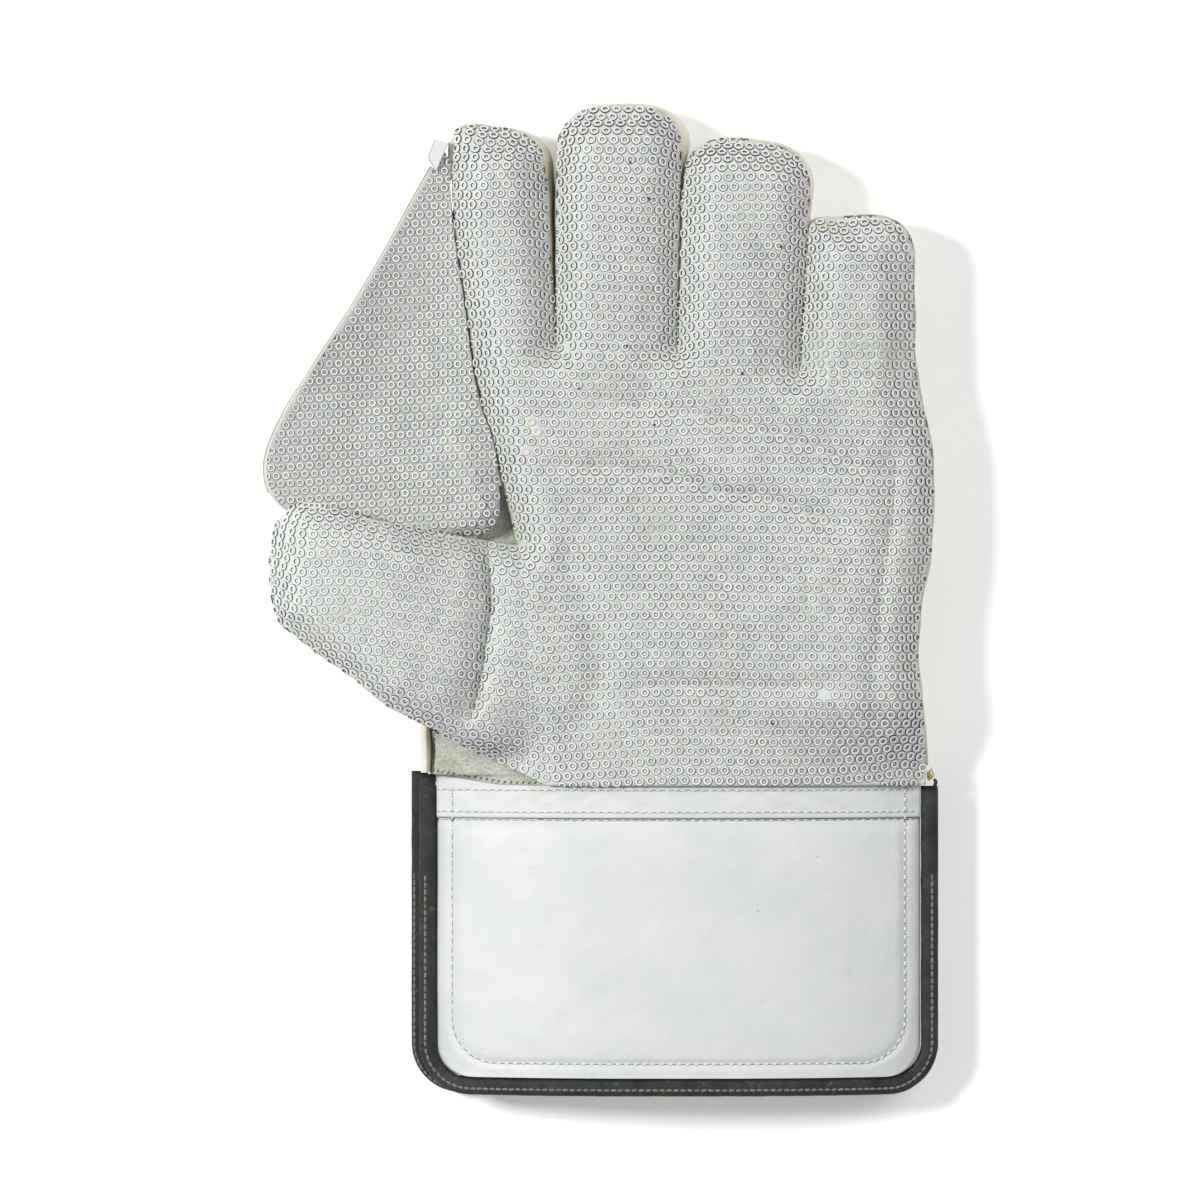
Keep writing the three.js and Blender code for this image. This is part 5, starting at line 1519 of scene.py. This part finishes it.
def cuff_front():
    def top(up, share):
        down = panel_row(1 - up)
        x, y = cuff_plan(down, share, CUFF_LEFT, CUFF_RIGHT, SEAM_Y - BAND_LENGTH - GAP)
        return x, y, cuff_front_height(x) - RIM_DIP * (1 - puff(down, share))

    def low(up, share):
        x, y, _ = top(up, share)
        depth = lerp(CUFF_RIM, CUFF_PAD, puff(panel_row(1 - up), share))
        return x, y, cuff_front_height(x) - RIM_DIP - depth

    piece = pad("cuff_front", *GRIDS["cuff_front"], top, low, WHITE_LOOK, "white_leather", fill=0.5)
    inflate(piece, 1.2)
    course = cuff_frame()

    def relief(points, normals):
        x, y = points[:, 0], points[:, 1]
        upper = normals[:, 2] > 0.2
        away = segment_distance(x, y, course[:-1], course[1:])
        away = np.minimum(away, np.abs(y - (SEAM_Y - BAND_LENGTH - 1.9)))
        groove = 0.7 * np.exp(-((away / 1.3) ** 2))
        swell = 0.35 * ripple(x, y, 46, 11) + 0.12 * ripple(x, y, 13, 12)
        moved = points.copy()
        moved[:, 2] += np.where(upper, swell - groove, 0)
        return moved

    move_points(piece, relief)
    return piece, course


# The band's lower edge, which laps over the padded panel
BAND_LIP, BAND_LIP_THICKNESS = 1.2, 0.35


def cuff_band():
    def at(up, share):
        y = lerp(SEAM_Y - BAND_LENGTH - BAND_LIP, SEAM_Y + BAND_TUCK, up)
        inset = BINDING_WIDTH + GAP
        x = lerp(CUFF_LEFT + inset, CUFF_RIGHT - inset, share)
        folds = 0.35 * ripple(x + 2.5 * y, 0.25 * y, 17, 13) + 0.15 * ripple(x - 1.5 * y, y, 8, 14)
        free = smooth((SEAM_Y - y) / 2.5) * smooth((y - SEAM_Y + BAND_LENGTH) / 1.5)
        return x, y, cuff_front_height(x) + folds * free
    upper, quads = surface(*GRIDS["cuff_band"], at)
    on_seam = upper[:, 1] < SEAM_Y - BAND_LENGTH
    lower = upper.copy()
    lower[:, 2] -= np.where(on_seam, BAND_LIP_THICKNESS, BAND_THICKNESS)
    points, faces = shell(upper, lower, quads)
    return build("cuff_band", points, faces, WHITE_LOOK, ["cuff_band"])


def cuff_back():
    def low(up, share):
        x, y = cuff_plan(panel_row(1 - up), share, CUFF_LEFT - CUFF_PEEK, CUFF_RIGHT, SEAM_Y - GAP)
        return x, y, cuff_back_height(x)

    def top(up, share):
        x, y, z = low(up, share)
        return x, y, z + CUFF_BACK_PAD

    piece = pad("cuff_back", *GRIDS["cuff_back"], top, low, WHITE_LOOK, "white_leather", fill=0.4)
    inflate(piece, 0.4, 0.0)


BINDING_SIDES = 16
BINDING_STATIONS = {"side": 50, "corner": 14, "bottom": 90}


def binding(name, left, right, top_left, top_right, middle_height, seed):
    """Dark tape wrapped round the edge of a cuff panel."""
    half = BINDING_WIDTH / 2
    bottom = SEAM_Y - CUFF_LENGTH + half
    radius = CUFF_CORNER - half

    def side(edge, inwards, top):
        levels = np.linspace(top, bottom + radius, BINDING_STATIONS["side"])
        path = [(edge + inwards * half, y) for y in levels]
        for angle in np.linspace(0, math.pi / 2, BINDING_STATIONS["corner"])[1:]:
            path.append((edge + inwards * (half + radius * (1 - math.cos(angle))),
                         bottom + radius * (1 - math.sin(angle))))
        return path

    path = side(left, 1, top_left)
    across = np.linspace(left + half + radius, right - half - radius, BINDING_STATIONS["bottom"])
    path += [(x, bottom) for x in across[1:-1]]
    path += side(right, -1, top_right)[::-1]
    path = np.array(path)
    along = unit(np.gradient(path, axis=0))
    out = np.stack([along[:, 1], -along[:, 0]], -1)
    turn = np.arange(BINDING_SIDES) * math.tau / BINDING_SIDES
    wide = np.sign(np.cos(turn)) * np.abs(np.cos(turn)) ** 0.55
    tall = np.sign(np.sin(turn)) * np.abs(np.sin(turn)) ** 0.7
    middle = middle_height(path[:, 0])
    run = np.arange(len(path)) * 1.6
    width = half * (1 + 0.03 * ripple(run, 0, 9, seed))
    thickness = BINDING_THICKNESS / 2 * (1 + 0.05 * ripple(run, 3, 6, seed + 1))
    x = path[:, 0, None] + out[:, 0, None] * wide[None] * width[:, None]
    y = path[:, 1, None] + out[:, 1, None] * wide[None] * width[:, None]
    z = middle[:, None] + tall[None] * thickness[:, None]
    points = np.stack([x, y, z], -1).reshape(-1, 3)
    piece = build(name, points, tube_faces(len(path), BINDING_SIDES), BINDING_LOOK, [name])
    return piece, path, out


def front_middle(x):
    low = CUFF_SEAM_HEIGHT + (BINDING_THICKNESS + GAP) / 2
    return np.maximum(low, cuff_front_height(x) - RIM_DIP - CUFF_RIM / 2)


def back_middle(x):
    high = CUFF_SEAM_HEIGHT - (BINDING_THICKNESS + GAP) / 2
    return np.clip(cuff_back_height(x) + CUFF_RIM / 2, BINDING_THICKNESS / 2, high)


FRONT_ROW, BACK_ROW = 0.7, 1.7  # rows of stitches, out from the middle of each binding
CHAIN_TOP = -92  # the stitches begin below this height


def bindings():
    front, path, out = binding("binding_front", CUFF_LEFT, CUFF_RIGHT, SEAM_Y + 3.5, SEAM_Y - 1.5,
                               front_middle, 21)
    low = path[:, 1] < CHAIN_TOP
    front_course = path[low] + out[low] * FRONT_ROW
    back, path, out = binding("binding_back", CUFF_LEFT - CUFF_PEEK, CUFF_RIGHT, SEAM_Y + 4.5, SEAM_Y - 0.5,
                              back_middle, 23)
    low = (path[:, 1] < CHAIN_TOP) & (path[:, 0] < 0)
    back_course = path[low] + out[low] * BACK_ROW
    rows = [Drop(front).lay(front_course), Drop(back).lay(back_course)]
    stitches("binding_stitches", rows, GREY_THREAD_LOOK, pitch=2.3, length=2.1, radius=0.4)


def cuff_stitches(cuff, band, course):
    drop = Drop(cuff, band)
    frame_path = resample(np.array(course), 2.0)
    left, right = CUFF_LEFT + BINDING_WIDTH + 2, CUFF_RIGHT - BINDING_WIDTH - 2
    rows = [drop.lay(frame_path)]
    for y in (SEAM_Y - 1.6, SEAM_Y - BAND_LENGTH + 0.7, SEAM_Y - BAND_LENGTH - 1.9):
        xs = np.arange(left, right, 2.0)
        rows.append(drop.lay(np.column_stack([xs, np.full(len(xs), y)])))
    stitches("cuff_stitches", rows, THREAD_LOOK, pitch=2.9, length=2.0, radius=0.34,
             holes=True)


# Thread work on the seams of the fingers and the wrist
BACK_SEAM = slice(95, 170)  # the stations of a finger's outline that show its back's seam


def seam_details(gusset, band, backs, lip):
    drop = Drop(*backs)
    rows = []
    for index in range(3):
        outline = finger_outline(index)[BACK_SEAM]
        path = offset(outline, 1.6) + np.stack([outline[:, 2], 0 * outline[:, 2]], -1)
        rows.append(drop.lay(path))
    stitches("finger_back_stitches", rows, GREY_THREAD_LOOK, pitch=2.2, length=1.4,
             radius=0.2)
    wrist = Drop(gusset, band)
    side = np.column_stack([np.linspace(-54.9, -55.2, 12), np.linspace(-43, -56.5, 12)])
    stitches("gusset_side_stitches", [wrist.lay(side)], DARK_THREAD_LOOK, pitch=2.2, length=1.3,
             radius=0.2)
    seam = resample(np.array(LIP_COURSE) + (LIP_START, 0.8), 2.0)
    rows = [Drop(gusset, lip, band).lay(seam)]
    stitches("gusset_whip_stitches", rows, DARK_THREAD_LOOK, pitch=2.1, length=1.3, radius=0.22,
             turn=0.9)


# Where the crumbs lie, in millimetres
SPECKS = ((18, 58), (-5, 36), (74, 44), (46, -39), (57, -41), (16, 133), (10, 145), (60, 117), (9, 84),
          (-7, 70), (47, 75))
SPECK_LIFT = 0.5


def specks():
    """Small dark crumbs that lie on the rubber."""
    parts = []
    for x, y in SPECKS:
        z = float(sample(heights, x, y)) + SPECK_LIFT
        way = random.normal(0, 0.35, 2)
        course = np.array([(x - way[0], y - way[1], z), (x, y, z + 0.1), (x + way[0], y + way[1], z)])
        parts.append(tube(course, np.array((0.15, 0.4, 0.2)), 6))
    build_joined("specks", parts, SPECK_LOOK)


TUFT_START, TUFT_THREADS = (109.6, -59.6, 18.4), 9
SCRAP_START, SCRAP_RUN, SCRAP_BEND = (111.2, -59.6, 18.2), (0.3, -2.6, 0.3), (0.5, 0, 0.3)
SCRAP_RADII, SCRAP_SIDES = (0.3, 0.6, 0.7, 0.6, 0.7, 0.5, 0.3), 7


def loose_threads():
    """A tuft of gold thread and a dark scrap where the rubber meets the outer binding."""
    parts = []
    for _ in range(TUFT_THREADS):
        start = np.array(TUFT_START) + random.normal(0, 0.35, 3)
        way = np.array((random.normal(0.0, 0.5), random.uniform(2.2, 3.6), random.uniform(0.2, 1.2)))
        t = np.linspace(0, 1, 6)[:, None]
        curl = np.array((random.normal(0, 0.8), 0, 0.6)) * np.sin(math.pi * t)
        parts.append(tube(start + way * t + curl, 0.16, 5))
    build_joined("gold_tuft", parts, GOLD_THREAD_LOOK)
    t = np.linspace(0, 1, len(SCRAP_RADII))[:, None]
    scrap = np.array(SCRAP_START) + np.array(SCRAP_RUN) * t + np.array(SCRAP_BEND) * np.sin(4 * t)
    points, faces = tube(scrap, np.array(SCRAP_RADII), SCRAP_SIDES)
    build("dark_scrap", points, faces, BINDING_LOOK)


# Floor, light and camera, in metres
FLOOR_REACH, FLOOR_LEVEL = 3.0, -0.0002
SKY_COLOR, SKY_STRENGTH = (0.97, 0.985, 1.0, 1), 0.33
LIGHTS = (
    {"name": "key", "place": (-1.5, 0.4, 1.85), "size": 0.5, "power": 48},
    {"name": "fill", "place": (1.1, 0.7, 1.4), "size": 1.4, "power": 14},
)


def stage():
    mesh = bpy.data.meshes.new("floor")
    turns = ((-1, -1), (1, -1), (1, 1), (-1, 1))
    corners = [(x * FLOOR_REACH, y * FLOOR_REACH, FLOOR_LEVEL) for x, y in turns]
    mesh.from_pydata(corners, [], [(0, 1, 2, 3)])
    mesh.materials.append(floor_material())
    floor = bpy.data.objects.new("floor", mesh)
    bpy.context.scene.collection.objects.link(floor)


def light(name, place, size, power):
    lamp = bpy.data.lights.new(name, "AREA")
    lamp.shape = "DISK"
    lamp.size = size
    lamp.energy = power
    holder = bpy.data.objects.new(name, lamp)
    holder.location = place
    holder.rotation_euler = (-Vector(place)).to_track_quat("-Z", "Y").to_euler()
    bpy.context.scene.collection.objects.link(holder)


def studio():
    world = bpy.data.worlds.new("studio")
    world.use_nodes = True
    background = world.node_tree.nodes["Background"]
    background.inputs["Color"].default_value = SKY_COLOR
    background.inputs["Strength"].default_value = SKY_STRENGTH
    bpy.context.scene.world = world
    for lamp in LIGHTS:
        light(**lamp)
    bpy.context.scene.view_settings.view_transform = "Standard"
    bpy.context.scene.view_settings.look = "None"


# Millimetres, but for the number of pixels
PIXELS, PIXEL = 1200, 0.331
CAMERA_DISTANCE = 3000
CAMERA_LEVEL = 36  # height at which the scale is that of the photograph
SENSOR = 36


def camera():
    data = bpy.data.cameras.new("camera")
    data.sensor_width = SENSOR
    data.lens = SENSOR * CAMERA_DISTANCE / (PIXELS * PIXEL)
    data.clip_end = 20
    holder = bpy.data.objects.new("camera", data)
    holder.location = (SHIFT_X * MM, 0, (CAMERA_DISTANCE + CAMERA_LEVEL) * MM)
    bpy.context.scene.collection.objects.link(holder)
    bpy.context.scene.camera = holder


camera()
studio()
stage()
rubber_face()
face_rings()
catching_web()
web_backing()
web_tab()
hand_walls()
thumb_wall()
hand_back()
back_pieces = finger_backs()
thumb_back()
crotch_gusset()
gusset_piece = wrist_gusset()
wrist_roll()
cuff_piece, frame_course = cuff_front()
band_piece = cuff_band()
cuff_back()
bindings()
cuff_stitches(cuff_piece, band_piece, frame_course)
lip_piece = gusset_lip(gusset_piece, band_piece)
seam_details(gusset_piece, band_piece, back_pieces, lip_piece)
specks()
loose_threads()
